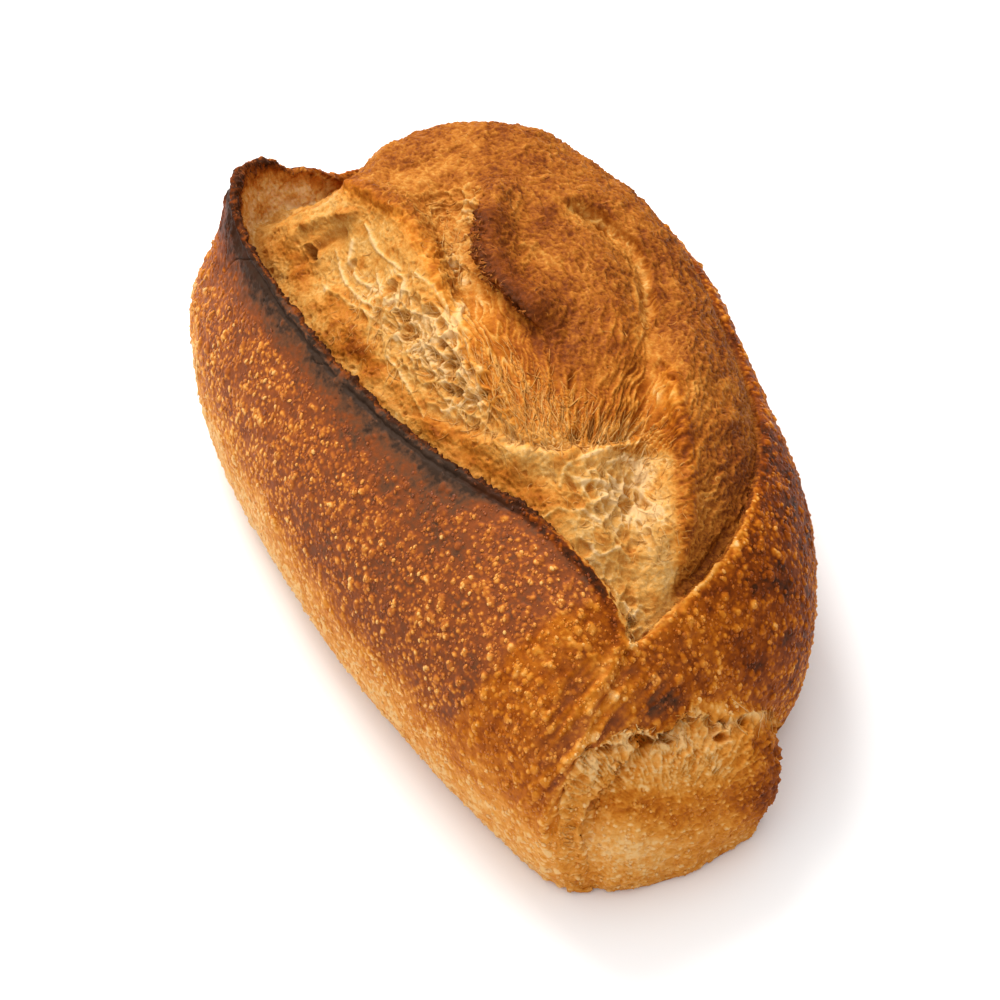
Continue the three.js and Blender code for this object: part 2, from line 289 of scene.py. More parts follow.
def grain(points, size, seed):
    """Smooth noise of about -1 to 1, with lumps of this size."""
    dice = np.random.default_rng(seed)
    turn = dice.permutation(256)
    slopes = dice.normal(size=(256, 3))
    slopes = (slopes / np.linalg.norm(slopes, axis=1)[:, None]).astype(np.float32)
    place = points / size + dice.uniform(0, 90, 3)
    cell = np.floor(place).astype(np.int64)
    inner = (place - cell).astype(np.float32)
    fade = inner**3 * (inner * (inner * 6 - 15) + 10)
    total = np.zeros(len(points), np.float32)
    for corner in CORNERS:
        slope = slopes[hashed(cell + corner, turn)]
        reach = inner - np.array(corner, np.float32)
        weight = np.ones(len(points), np.float32)
        for axis in range(3):
            weight *= fade[:, axis] if corner[axis] else 1 - fade[:, axis]
        total += weight * (slope * reach).sum(1)
    return total * 1.7


def wander(points, size, seed):
    """Three noises side by side, which bend what is drawn at the points."""
    return np.stack([grain(points, size, seed + i) for i in range(3)], 1)


def cells(points, size, seed):
    """Distances to the nearest and next seed of a foam, in cell sizes, and the nearest seed's own number."""
    dice = np.random.default_rng(seed)
    turn = dice.permutation(256)
    seeds = dice.uniform(0, 1, (256, 3)).astype(np.float32)
    own = dice.uniform(0, 1, 256).astype(np.float32)
    place = points / size + 70.0
    cell = np.floor(place).astype(np.int64)
    inner = (place - cell).astype(np.float32)
    first = np.full(len(points), 9.0, np.float32)
    second = first.copy()
    number = np.zeros(len(points), np.float32)
    for step in NEIGHBOURS:
        key = hashed(cell + step, turn)
        reach = seeds[key] + np.array(step, np.float32) - inner
        far = np.sqrt((reach * reach).sum(1))
        nearer = far < first
        second = np.where(nearer, first, np.minimum(second, far))
        number = np.where(nearer, own[key], number)
        first = np.where(nearer, far, first)
    return first, second, number


def foam(points, size, seed, wall, rim, middle):
    """A foam's cell walls, how hollow it is between them, and each cell's own number."""
    first, second, number = cells(points, size, seed)
    gap = second - first
    return np.clip(1 - gap / wall, 0, 1), ease(rim, middle, gap), number


def bubbles(points, size, seed, least, spread, fewest):
    """Round spots, each of its own size, on the seeds of a foam whose number is above the fewest."""
    first, _, number = cells(points, size, seed)
    return np.clip(1 - (first / (least + spread * number)) ** 2, 0, 1) * (number > fewest)


# ---------------- measuring in the photograph and in plan
def camera_axes():
    """The directions back to the photograph's camera, to its right and up in it."""
    a, e = CAMERA_AZIMUTH, CAMERA_ELEVATION
    back = np.array((math.sin(a) * math.cos(e), -math.cos(a) * math.cos(e), math.sin(e)))
    right = np.array((math.cos(a), math.sin(a), 0.0))
    return back, right, np.cross(back, right)


def photo_place(points):
    """The photograph's pixel of each point, as two arrays, across and down."""
    back, right, up = camera_axes()
    reach = points - (CAMERA_AIM + back * CAMERA_DISTANCE)
    depth = -(reach @ back)
    return PHOTO_SIDE / 2 + FOCAL * (reach @ right) / depth, PHOTO_SIDE / 2 - FOCAL * (reach @ up) / depth


def to_line(across, down, line):
    """Distance to a line, the side of it (1 is left of the line, drawn y up) and the share along it."""
    line = np.array(line, float)
    steps = np.linalg.norm(np.diff(line, axis=0), axis=1)
    starts = np.concatenate(([0], np.cumsum(steps)))
    best = np.full(len(across), 1e9)
    side = np.zeros(len(across))
    share = np.zeros(len(across))
    for i, length in enumerate(steps):
        (x0, y0), (x1, y1) = line[i], line[i + 1]
        tx, ty = (x1 - x0) / length, (y1 - y0) / length
        t = np.clip((across - x0) * tx + (down - y0) * ty, 0, length)
        dx, dy = across - x0 - t * tx, down - y0 - t * ty
        far = dx * dx + dy * dy
        nearer = far < best
        best = np.where(nearer, far, best)
        side = np.where(nearer, tx * dy - ty * dx, side)
        share = np.where(nearer, (starts[i] + t) / starts[-1], share)
    return np.sqrt(best), np.sign(side), share


def past_line(across, down, line):
    """Distance to a line of pixels, and the same with a sign, which changes where the line is crossed."""
    far, side, _ = to_line(across, down, line)
    return far, -side * far


def polar(across, down, middle):
    """The angle and the distance of pixels round a middle."""
    return np.arctan2(down - middle[1], across - middle[0]), np.hypot(down - middle[1], across - middle[0])


def stroke(across, down, line, width):
    """A soft stroke along a line of pixels."""
    return bell(to_line(across, down, line)[0], width)


def strokes(across, down, table, wider=1.0):
    """The sum of a table's strokes, each at its own strength."""
    total = np.zeros(len(across))
    for line, width, strength in table:
        total += strength * stroke(across, down, line, width * wider)
    return total


def region(across, down, table):
    """A table's strokes as one mask from 0 to 1."""
    return np.clip(strokes(across, down, table), 0, 1)


def streaks(across, down, way, apart, long, seed, bend):
    """Noise drawn out along a direction of the photograph; apart and long are in pixels."""
    along = (across * way[0] + down * way[1]) / long
    over = (across * way[1] - down * way[0]) / apart
    return grain(np.stack((over + bend, along, 0 * along), 1), 1.0, seed)


def smooth_loop(points, steps):
    """A closed curve through the points."""
    p = np.array(points, float)
    before, after, beyond = np.roll(p, 1, 0), np.roll(p, -1, 0), np.roll(p, -2, 0)
    out = []
    for i in range(len(p)):
        for t in np.arange(steps) / steps:
            out.append(0.5 * (2 * p[i] + (after[i] - before[i]) * t
                              + (2 * before[i] - 5 * p[i] + 4 * after[i] - beyond[i]) * t * t
                              + (3 * p[i] - before[i] - 3 * after[i] + beyond[i]) * t ** 3))
    return np.array(out + out[:1])


# ---------------- the skin
def choose(piece):
    """Makes a piece the only one selected, and the active one."""
    bpy.ops.object.select_all(action="DESELECT")
    piece.select_set(True)
    bpy.context.view_layer.objects.active = piece


def even_skin():
    """The solid's skin in even faces: points in mm, and the four corners of each face."""
    body = bpy.data.objects.new("loaf_body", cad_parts["loaf"].data.copy())
    bpy.context.scene.collection.objects.link(body)
    choose(body)
    bpy.ops.object.mode_set(mode="EDIT")
    bpy.ops.mesh.select_all(action="SELECT")
    bpy.ops.mesh.remove_doubles(threshold=0.01 * MM)
    bpy.ops.object.mode_set(mode="OBJECT")
    even = body.modifiers.new("even_faces", "REMESH")
    even.mode = "VOXEL"
    even.voxel_size = SKIN_FACE * MM
    bpy.ops.object.modifier_apply(modifier=even.name)
    eased = body.modifiers.new("eased", "SMOOTH")
    eased.factor = 0.5
    eased.iterations = SKIN_EASE
    bpy.ops.object.modifier_apply(modifier=eased.name)
    mesh = body.data
    points = np.empty(len(mesh.vertices) * 3, np.float32)
    mesh.vertices.foreach_get("co", points)
    corners = np.empty(len(mesh.loops), np.int32)
    mesh.loops.foreach_get("vertex_index", corners)
    bpy.data.objects.remove(body)
    return points.reshape(-1, 3).astype(float) / MM, corners.reshape(-1, 4)


def facing(points, quads):
    """The outward direction at every point."""
    normal = np.cross(points[quads[:, 2]] - points[quads[:, 0]], points[quads[:, 3]] - points[quads[:, 1]])
    total = np.zeros_like(points)
    for corner in range(4):
        for axis in range(3):
            total[:, axis] += np.bincount(quads[:, corner], normal[:, axis], len(points))
    return total / np.maximum(np.linalg.norm(total, axis=1), 1e-9)[:, None]


def lip_place(points, normal):
    """Distance out from the lip in plan, the share round it, and how far a point faces outwards."""
    loop = smooth_loop(np.array(LIP_LINE) + LIP_SHIFT, LIP_STEPS)
    far, side, share = to_line(points[:, 0], points[:, 1], loop)
    middle = loop[:-1].mean(0)
    _, middle_side, _ = to_line(middle[:1], middle[1:], loop)
    outside = side != middle_side[0]
    near = np.clip((share * (len(loop) - 1)).astype(int), 0, len(loop) - 2)
    along = loop[near + 1] - loop[near]
    along /= np.linalg.norm(along, axis=1)[:, None]
    outward = np.stack((along[:, 1], -along[:, 0]), 1)
    turn = np.sign(((loop[0] - middle) * np.array((loop[1] - loop[0])[[1, 0]]) * (1, -1)).sum())
    return np.where(outside, far, -far), share, (outward * normal[:, :2]).sum(1) * turn


def inside_powers(points):
    """Below 1 inside the torn mouth, and below 1 inside the bulge."""
    m = (points - MOUTH_CENTRE) / MOUTH_RADII
    b = np.abs(points - BULGE_CENTRE) / BULGE_RADII
    plan = b[:, 0] ** BULGE_PLAN_POWER + b[:, 1] ** BULGE_PLAN_POWER
    return (m * m).sum(1), plan ** (BULGE_HEIGHT_POWER / BULGE_PLAN_POWER) + b[:, 2] ** BULGE_HEIGHT_POWER


# ---------------- relief and baking of the crumb
def crumb_textures(place, across, down, flap_angle, flap_reach):
    """Lumps, wrinkles, strands and foam of torn dough, as fields over the points."""
    t = SimpleNamespace(warp=wander(place, 6.0, 21))
    ripple = wander(place, 1.8, 26)
    t.lumps = grain(place, 15.0, 41)
    t.knots = grain(place + t.warp, 5.2, 42)
    t.fine = grain(place, 1.3, 45)
    t.patch = grain(place + 2 * t.warp, 7.0, 47)
    t.wrinkle = ridges(grain(place + 1.6 * t.warp, 3.4, 43), 0.30)
    t.curl = ridges(grain(place + 1.0 * t.warp + 0.5 * ripple, 1.9, 44), 0.34)
    t.thin_curl = ridges(grain(place + 0.9 * ripple, 1.25, 46), 0.36)

    turned = flap_reach / 9.0 + 1.3 * grain(place, 11.0, 38) + 0.5 * grain(place, 4.0, 39)
    rings = np.stack((turned, flap_angle * 3.6, 0 * across), 1)
    t.arcs = ridges(grain(rings, 1.0, 40), 0.30)
    t.folds = grain(rings * (0.45, 0.6, 1), 1.0, 49)

    fan_angle, fan_reach = polar(across, down, FAN_CENTRE)
    spokes = np.stack((fan_angle * 26.0 + 0.6 * grain(place, 7.0, 31), fan_reach / 30.0, 0 * across), 1)
    t.fibre = 0.6 * grain(spokes, 1.0, 32) + 0.4 * grain(spokes * (2.1, 1.3, 1), 1.0, 33)
    t.fan_strand = ridges(grain(spokes * (1.5, 0.8, 1), 1.0, 36), 0.26)

    bend = 0.9 * grain(place, 8.0, 34)
    falling = ridges(streaks(across, down, SLOPE_WAY, 7.0, 30.0, 35, bend), 0.20)
    crossing = ridges(streaks(across, down, CROSS_WAY, 9.0, 34.0, 37, bend), 0.15)
    t.slope_strand = np.maximum(falling, crossing)
    t.strand = np.zeros(len(place))
    for line in STRANDS:
        drawn = stroke(across + 2 * t.warp[:, 0], down + 2 * t.warp[:, 1], line, STRAND_WIDTH)
        t.strand = np.maximum(t.strand, drawn)

    stretched = place * (0.62, 1, 1) + 0.9 * t.warp + 0.3 * ripple
    t.web, t.hollow, t.number = foam(stretched, 4.2, 51, 0.11, 0.04, 0.45)
    loose = place + 0.8 * t.warp + 0.3 * ripple
    t.small_web, t.small_hollow, t.small_number = foam(loose, 1.9, 52, 0.2, 0.05, 0.5)
    return t


def crumb_regions(place, across, down, above_crag, seen):
    """Masks of the browned dome and the slope, the fan, and stringy, foamy and rough dough."""
    r = SimpleNamespace()
    dome = ease(-10, 14, above_crag) * ease(*DOME_FOOT, down)
    dome = dome + ease(*RIGHT_SLOPE, across + 4 * grain(place, 6, 25))
    r.dome = np.clip(dome + ease(0.25, HORIZON, seen), 0, 1)
    r.slope = 1 - r.dome
    r.fan = region(across, down, FAN) * ease(*FAN_FOOT, down)
    r.stringy = region(across, down, STRINGY) * (1 - r.fan)
    r.foamy = region(across, down, FOAMY)
    r.rough = 1 - 0.7 * region(across, down, SKINNED)
    return r


def crumb_features(place, across, down, t, crag_far, above_crag):
    """The crag, ledge, flap, crack and ridge: their relief in mm, and masks of them."""
    f = SimpleNamespace()
    rise = ease(-5, 5, above_crag + 3.2 * t.knots + 2.0 * grain(place, 2.2, 61))
    f.relief = bell(crag_far, 22) * (2.0 * rise - 1.0) * ease(*CRAG_FOOT, down)
    ledge_far, past_ledge = past_line(across, down, LEDGE)
    rise = ease(-4, 4, -past_ledge + 5.5 * t.knots + 3.2 * grain(place, 2.0, 62))
    f.relief += bell(ledge_far, 18) * (2.6 * rise - 1.2)

    f.flap_far, f.flap = past_line(across, down, FLAP_EDGE)
    f.flap_rise = ease(-2.0, 2.5, f.flap + 4.2 * grain(place, 2.6, 63) + 2.4 * grain(place, 1.2, 64))
    f.relief += bell(f.flap_far, 20) * (5.2 * f.flap_rise - 2.6)
    f.flap_edge = bell(f.flap - 5, 7) * (f.flap_far < 16)

    crack_far, past_crack = past_line(across, down, CRACK)
    f.crack_lip = bell(-past_crack + 9 + 3 * t.knots, 4) * (crack_far < 20)
    f.relief += 1.5 * f.crack_lip - 2.2 * bell(crack_far + 1.8 * grain(place, 3.0, 65), 6.0)

    ridge_far, f.behind = past_line(across, down, ORANGE_RIDGE)
    f.ridge_top = bell(ridge_far + 3 * t.knots, 10)
    f.relief += 1.8 * f.ridge_top - 1.0 * ease(0, 12, f.behind) * bell(ridge_far, 30)
    f.relief += 1.7 * stroke(across, down, STRAND_BRIDGE, 5) * (1 + 0.5 * t.knots)
    f.hollowed = stroke(across + 5 * t.warp[:, 0], down + 5 * t.warp[:, 1], EAR_HOLLOW, 7)
    f.gap = stroke(across + 2 * t.knots, down, V_GAP, 4)
    f.relief -= 2.2 * f.hollowed + 1.2 * f.gap
    return f


def crumb_pits(across, down, t):
    """The deepest pores: their relief in mm, and a mask of them."""
    relief, pit = np.zeros(len(across)), np.zeros(len(across))
    for middle, halves, turned, depth in PITS:
        c, s = math.cos(math.radians(turned)), math.sin(math.radians(turned))
        du, dv = across - middle[0], down - middle[1]
        a, b = (du * c + dv * s) / halves[0], (-du * s + dv * c) / halves[1]
        reach = np.sqrt(a * a + b * b) * (1 + 0.30 * t.knots + 0.14 * t.fine) + 0.10 * t.wrinkle
        bowl = ease(1.05, 0.45, reach)
        relief += -depth * bowl + 0.10 * depth * bell(reach - 1.15, 0.2)
        pit = np.maximum(pit, bowl)
    return relief, pit


def crumb_relief(place, t, r):
    """The crumb's own texture in mm, by region."""
    relief = (1.1 - 0.5 * r.dome) * t.lumps * r.rough + 0.12 * t.fine
    relief += (0.75 - 0.25 * r.dome) * t.knots * r.rough * (1 - 0.5 * r.fan)
    curls = 0.40 * t.wrinkle + 0.38 * t.curl + 0.10 * t.thin_curl - 0.62
    relief += r.dome * (1 - 0.8 * r.fan) * r.rough * curls
    relief += r.dome * (1 - r.fan) * (0.65 * t.arcs + 0.5 * t.folds)
    relief += r.slope * r.rough * (0.30 * t.wrinkle + 0.14 * t.curl - 0.18) + 0.55 * t.strand
    relief += r.fan * (1.2 * t.fibre + 1.15 * t.fan_strand - 0.5)
    relief += r.stringy * (0.50 * t.slope_strand - 0.15)
    relief += r.foamy * (0.6 * t.web - 2.2 * t.hollow * (0.2 + t.number))
    pores = 0.4 * t.small_web - 1.3 * t.small_hollow * t.small_number**2
    return relief + (0.50 * r.slope + 0.25 * r.dome) * (1 - r.foamy) * r.rough * pores


def crumb_baking(t, r, f, relief, pit):
    """The crumb's baking by region, before its shades, with painted shade in its pits, pores and foam
    hollows, in the V's gap and in the hollow under the strand bridge: 0 is pale and 1 is scorched.
    """
    bake = 0.33 + 0.37 * r.dome + 0.06 * t.lumps + 0.06 * t.knots + 0.04 * t.fine
    bake += (0.08 - 0.04 * r.dome) * t.patch
    curls = 0.09 * t.wrinkle + 0.17 * t.curl + 0.14 * t.thin_curl + 0.15 * t.arcs + 0.03 * t.folds
    bake += r.dome * (1 - 0.7 * r.fan) * (0.17 - curls)
    bake += r.slope * (0.02 - 0.06 * t.curl + 0.16 * ease(0.2, 1.0, t.knots)) - 0.26 * t.strand
    bake += r.fan * (0.10 - 0.16 * t.fibre - 0.42 * t.fan_strand)
    bake += r.stringy * (0.06 - 0.24 * t.slope_strand)
    bake += 0.05 * r.dome * np.clip(relief / 2.0, -1, 1) * (1 - pit)
    # Painted shade: foam hollows, and pores on the slope, are darker than the cell walls round them.
    pores = t.small_hollow * t.small_number**2
    bake += 0.16 * (1 - r.foamy) * r.rough * pores * (r.slope - 0.3 * r.dome)
    bake += r.foamy * (0.16 * t.hollow * t.number - 0.24 * t.web)
    # Painted shade: the pits, the V's gap and the hollow under the strand bridge are darkened.
    return bake + pit * 0.10 + 0.14 * f.crack_lip * r.dome + 0.12 * f.gap + 0.12 * f.hollowed


def crumb_fields(place, across, down, rim, share, ear, under_ear, seen):
    """The crumb's relief in mm, its baking with painted shade added in, and how orange it is. rim is the
    distance in from the lip.

    seen is how far a point faces the camera: past the horizon nothing the photograph shows is drawn again.
    """
    flap_angle, flap_reach = polar(across, down, FLAP_MIDDLE)
    down = np.where(seen < HORIZON, down - OUT_OF_VIEW, down)
    t = crumb_textures(place, across, down, flap_angle, flap_reach)
    crag_far, above_crag = past_line(across, down, CRAG)
    r = crumb_regions(place, across, down, above_crag, seen)
    f = crumb_features(place, across, down, t, crag_far, above_crag)
    pit_relief, pit = crumb_pits(across, down, t)

    frayed = bell(rim - 2.6, 1.5) * ear
    relief = crumb_relief(place, t, r) + f.relief + pit_relief + frayed * (0.8 * grain(place, 1.5, 71) + 0.3)
    relief = np.clip(relief * ease(0.3, 3.5, rim + 6.0 * under_ear), -6.0, 4.5)

    bake = crumb_baking(t, r, f, relief, pit) + 0.16 * f.ridge_top * grain(place, 2.4, 48)
    bent = across + 5 * t.warp[:, 0], down + 5 * t.warp[:, 1]
    browned = strokes(*bent, CRUMB_BROWNED, CRUMB_SHADE_WIDER)
    bake += np.minimum(browned, 0.34) - strokes(*bent, CRUMB_PALE, CRUMB_SHADE_WIDER)
    bake += 0.30 * f.flap_edge * f.flap_rise * (0.6 + 0.6 * t.curl)
    bake += 0.06 * ease(0, 14, f.flap) * bell(f.flap_far, 34)
    bake += 0.06 * ease(0, 30, f.behind) * r.dome * ease(*RIDGE_SHADE, down)
    bake = np.minimum(bake, 0.84 + 0.10 * f.flap_edge)
    bake += 0.60 * frayed + 0.12 * ease(6.5, 2.5, rim) * ear * (1 - under_ear)
    back_side = ease(0.06, 0.12, share) * (1 - ease(0.5, 0.56, share))
    bake += 0.06 * back_side * ease(34, 6, rim)
    drawn = grain(place * (1.2, 1.2, 0.12), 1.0, 72)
    bake += under_ear * (-0.16 + 0.22 * drawn + 0.020 * np.clip(place[:, 2] - 88, 0, 30))
    orange = 0.8 * r.fan + 0.8 * f.ridge_top + bell(crag_far, 9) + 2.2 * browned * (1 - r.dome)
    return relief + under_ear * 0.35 * drawn, bake, np.clip(orange, 0, 1)


# ---------------- relief and baking of the crust
def crust_bubbles(place, long, char, near_front):
    """Fine blisters: their relief in mm, and how much they pale the crust. long is how drawn out they are."""
    bent = place + 0.38 * wander(place, 2.4, 97)
    tall = bubbles(bent * (1.15, 1.15, 0.46), 1.9, 171, 0.20, 0.34, 0.25) * (0.35 + 0.65 * long)
    dots = bubbles(bent * (1, 1, 0.8), 1.7, 172, 0.18, 0.30, 0.30)
    rounds = bubbles(bent, 3.6, 173, 0.10, 0.30, 0.40) * (1 - 0.7 * long)
    crowd = np.clip(0.90 + 0.5 * grain(place, 10.0, 174) + 0.35 * grain(place, 4.0, 175), 0.15, 1)
    paler = np.maximum(np.maximum(tall, dots), rounds) ** 0.7 * crowd * (1 - 0.85 * char)
    return 0.34 * tall * long + 0.22 * dots + 0.55 * rounds, paler * (1 - 0.35 * near_front)


def crust_fields(place, across, down, lip, share):
    """The crust's relief in mm, its baking with painted shade added in, and how charred and amber it is. lip
    is how far out of it.
    """
    x, y, z = place.T
    near_front = ease(84, 92, x) * ease(30, 18, np.abs(y + 20) - 30)
    swell = 0.55 * grain(place, 34.0, 81) + 0.22 * grain(place, 11.0, 82)
    swell += 0.10 * grain(place, 3.2, 83) + 0.05 * grain(place, 1.4, 87)

    fold_far, fold_side, fold_share = to_line(across, down, V_FOLD)
    fold = -fold_side * fold_far
    bend = 3.0 * grain(place, 12.0, 88)
    tucks = np.sin((fold + bend) / 2.9) * bell(np.abs(fold) - 9, 15) * ease(0.0, 0.25, fold_share)
    pleats = streaks(across, down, PLEAT_WAY, 7.0, 60.0, 89, 0.4 * bend / 3)
    pleated = strokes(across, down, PLEATED)
    folds = -1.7 * bell(fold + bend, 3.6) + 0.35 * tucks + 0.8 * bell(fold + 9, 6) + 1.3 * pleated * pleats
    swell += near_front * folds
    near_tear = stroke(across, down, TEAR_EDGE, 9) * near_front
    swell += near_tear * 0.9 * grain(place, 3.0, 86)
    thin_edge = stroke(across, down, RIGHT_LIP, 2.6) * (np.abs(lip) < 6)
    swell += 0.7 * thin_edge

    around = ease(0.50, 0.61, share + 0.015 * grain(place, 9.0, 90)) * (1 - ease(0.86, 0.95, share))
    reach = np.clip(lip - 0.5, 0, 99) / (7.6 + 2.0 * grain(place, 18.0, 85) + 0.9 * grain(place, 4.5, 84))
    char = np.exp(-(reach**1.5)) * around
    # A thin dark edge along the lip by the V: partly the crust's own browning, partly painted shade under the
    # curled-over edge.
    v_edge_browning_and_shade = ease(0.86, 0.90, share) * bell(lip + 0.5, 2.2) * (1 - ease(0.985, 1.0, share))
    past = bell(np.clip(lip, 0, 99), 20) * around
    # The near side takes the rosy crust colours, whose bluer cast is partly painted sheen.
    near_side = ease(20, -30, y - 0.5 * x + 20)
    amber = np.clip(0.95 * (1 - near_side) + ease(66, 30, z) + 0.7 * near_front + v_edge_browning_and_shade, 0, 1)
    amber -= 0.45 * near_front * pleated * ease(0.2, -0.4, pleats)
    long = ease(20, -60, x)
    rise, paler = crust_bubbles(place, long, char, near_front)
    swell += rise

    bake = 0.64 + 0.07 * grain(place, 24.0, 91) + 0.11 * grain(place, 8.0, 92)
    bake += 0.10 * grain(place, 2.6, 93) + 0.06 * grain(place, 1.2, 95)
    bake -= 0.43 * ease(64, 16, z + 8 * grain(place, 14, 94)) * (1 - 0.6 * ease(-10, 50, y))
    bake += 0.05 * ease(-20, 30, x) * near_side - 0.07 * long + 0.05 * ease(0, 40, x) * (1 - near_side)
    bake += 0.08 * past + (0.14 + 0.08 * ease(0.80, 0.68, share)) * char
    # Darker along the lip by the V, partly painted shade under its curled-over edge; darker towards +y,
    # partly browning and partly painted shade on the side turned from the key light.
    bake += 0.26 * v_edge_browning_and_shade + 0.10 * bell(lip - 1.2, 3.2) * around + 0.16 * ease(-10, 50, y)
    bake += near_front * (strokes(across, down, CRUST_SHADES) - 0.03 - pleated * (0.04 + 0.15 * pleats))
    bake -= near_tear * (0.12 + 0.1 * grain(place, 2.0, 89)) + 0.34 * thin_edge
    # A thin dark line just outside the lip, sunk a little: painted shade in the narrow groove under the lip's
    # edge.
    line = bell(lip - 0.5 + 0.35 * grain(place, 4.0, 98), 0.6) * around
    line *= ease(-0.9, 0.1, grain(place, 9.0, 100))
    inside = ease(0.0, -0.8, lip) * around
    bake += 0.40 * line + inside * (0.24 * grain(place, 1.6, 99) + 0.05)
    bake -= bell(lip + 1.0, 1.2) * (0.26 * ease(0.97, 1.0, share) + 0.2 * (share < 0.12))
    crack = ridges(grain(place * (1, 1, 0.4), 16.0, 96), 0.012) * around * ease(9, 3, lip)
    bake += 0.2 * crack - 0.56 * paler * ease(1.0, 0.7, bake) * (1 - 0.4 * near_front)
    return swell - 0.8 * crack - 1.0 * line, bake, char, amber


# ---------------- relief and baking of the burst
def burst_fields(place, across, down, on_bulge):
    """The relief in mm and the baking of the bulge and of the torn cave round it, with painted light and
    shade on the bulge and painted shade in its holes.
    """
    torn = stroke(across, down, TEAR_EDGE, 26)
    warp = wander(place, 5.0, 111)
    wrinkle = ridges(grain(place + 1.4 * warp, 3.0, 103), 0.32)
    curl = ridges(grain(place + 0.8 * warp, 1.6, 104), 0.34)
    angle, reach = polar(across, down, BULGE_MIDDLE)
    pulled = np.stack((angle * 20.0 + 0.7 * grain(place, 6.0, 114), reach / 26.0, 0 * across), 1)
    pull = ridges(grain(pulled, 1.0, 115), 0.30)
    web, hollow, number = foam(place + warp, 5.0, 108, 0.18, 0.05, 0.5)
    flecks = bubbles(place * (1, 1, 1.3) + 0.5 * warp, 2.4, 116, 0.14, 0.30, -1) ** 0.7 * (1 - torn)
    drawn_out = stroke(across, down, DRAWN_DOUGH, 24)

    relief = 1.3 * grain(place, 17.0, 101) + 0.8 * grain(place, 5.5, 102) + 0.40 * wrinkle + 0.35 * curl
    relief += 0.5 * flecks + torn * (1.1 * pull + 0.4 * web - 3.4 * hollow * number**2.5 - 0.5)
    relief += 2.2 * stroke(across, down, BULGE_SEAM, 5) + 0.8 * drawn_out * pull

    bake = 0.31 + 0.06 * grain(place, 12.0, 105) + 0.10 * grain(place, 4.0, 106)
    bake += 0.06 * grain(place, 1.7, 110)
    # The bulge's own brown band, with painted light and shade that make it look round.
    bake += strokes(across, down, BULGE_TONES_AND_PAINTED_LIGHT) - 0.24 * drawn_out * pull - 0.22 * torn
    # Painted shade in the hollows of the torn foam.
    bake += torn * (0.20 * hollow * number + 0.06 - 0.20 * pull) - 0.04 * ease(24, 2, place[:, 2])
    bake += 0.06 - 0.06 * wrinkle - 0.10 * curl - 0.36 * flecks
    ragged = 0.2 * grain(place, 2.0, 117)
    # Each hole under the tear is sunk and darkened with painted shade.
    for middle, halves in TORN_HOLES:
        away = np.hypot((across - middle[0]) / halves[0], (down - middle[1]) / halves[1])
        hole = ease(1.1, 0.5, away + ragged)
        relief -= 3.4 * hole
        bake += 0.26 * hole
    cave = 0.34 + 0.12 * grain(place, 4.0, 107) + torn * (0.1 - 0.18 * pull)
    return relief * np.where(on_bulge > 0.5, 1.0, 0.7), np.where(on_bulge > 0.5, bake, cave)


# ---------------- blisters raised in the skin itself
def flow(place, facing):
    """Which way the crust was stretched, down the side and a little along the loaf, and the way across."""
    fall = np.array((0, 0, -1.0)) + facing * facing[2]
    fall /= max(np.linalg.norm(fall), 1e-6)
    along = fall + 0.2 * (np.array((1.0, 0, 0)) - facing * facing[0])
    along /= np.linalg.norm(along)
    return along, np.cross(facing, along)


def raise_blisters(points, normal, seat, charred):
    """A mask of the larger blisters, and their height in mm."""
    dice = np.random.default_rng(7)
    mask, rise = np.zeros(len(points)), np.zeros(len(points))
    tree = KDTree(len(seat))
    for i, place in enumerate(points[seat]):
        tree.insert(place, i)
    tree.balance()
    uneven = 0.16 * grain(points, 1.5, 121)
    for start in dice.choice(seat, LARGE_BLISTERS, replace=False):
        if charred[start] > 0.3 and dice.random() < 0.8:
            continue
        middle = points[start]
        radius = 0.75 + 1.0 * dice.random() ** 3.0
        stretch = 1.0 + dice.random() * (1.1 if middle[0] < -40 else 0.5)
        along, side = flow(middle, normal[start])
        near = seat[[i for _, i, _ in tree.find_range(middle, radius * stretch)]]
        reach = points[near] - middle
        a, b = reach @ along / stretch, reach @ side
        t = np.clip(1 - (a * a + b * b) / radius**2 * (1 + uneven[near]), 0, 1)
        mask[near] = np.maximum(mask[near], ease(0.0, 0.5, t))
        rise[near] = np.maximum(rise[near], radius * 0.48 * t**0.7)
    return mask, rise


# ---------------- where each point of the skin is
points, quads = even_skin()
normal = facing(points, quads)
seen = normal @ camera_axes()[0]
across, down = photo_place(points)
lip, share, looks_out = lip_place(points, normal)
ear = ease(*EAR_SHARES[:2], share) * (1 - ease(*EAR_SHARES[2:], share))
under_ear = ((ear > 0.3) & (np.abs(lip + 5) < 13) & (looks_out < -0.15) & (points[:, 2] > 40)).astype(float)
ragged = 1.1 * grain(points, 5.0, 11) + 0.7 * grain(points, 1.9, 12)
crumb = np.where(under_ear > 0, 1.0, ease(1.2, 2.6, -lip + 0.6 * ragged))

mouth, bulge_power = inside_powers(points)
bulge = ((mouth < 0.97) & (bulge_power < 1.16) & (points[:, 0] > 100)).astype(float)
to_mouth = MOUTH_CENTRE - points
to_mouth /= np.linalg.norm(to_mouth, axis=1)[:, None]
cave = ((np.abs(mouth - 1) < 0.14) & (bulge_power > 1.03) & ((to_mouth * normal).sum(1) > 0.25)).astype(float)
cave = np.maximum(cave, ((mouth < 0.9) & (bulge_power >= 1.16)).astype(float))
torn_across, torn_down = across + 2.5 * grain(points, 3.0, 13), down + 2.5 * grain(points, 3.0, 14)
tear_far, tear_side, _ = to_line(torn_across, torn_down, TORN_OUTLINE)
in_burst = (across < BURST_RIGHT) & (down > BURST_TOP) & (points[:, 0] > 92)
under_tear = (tear_side > 0) & (tear_far < 34) & in_burst
bulge = np.maximum(bulge, under_tear * (cave < 0.5) * (mouth > 0.97) * (seen > 0))
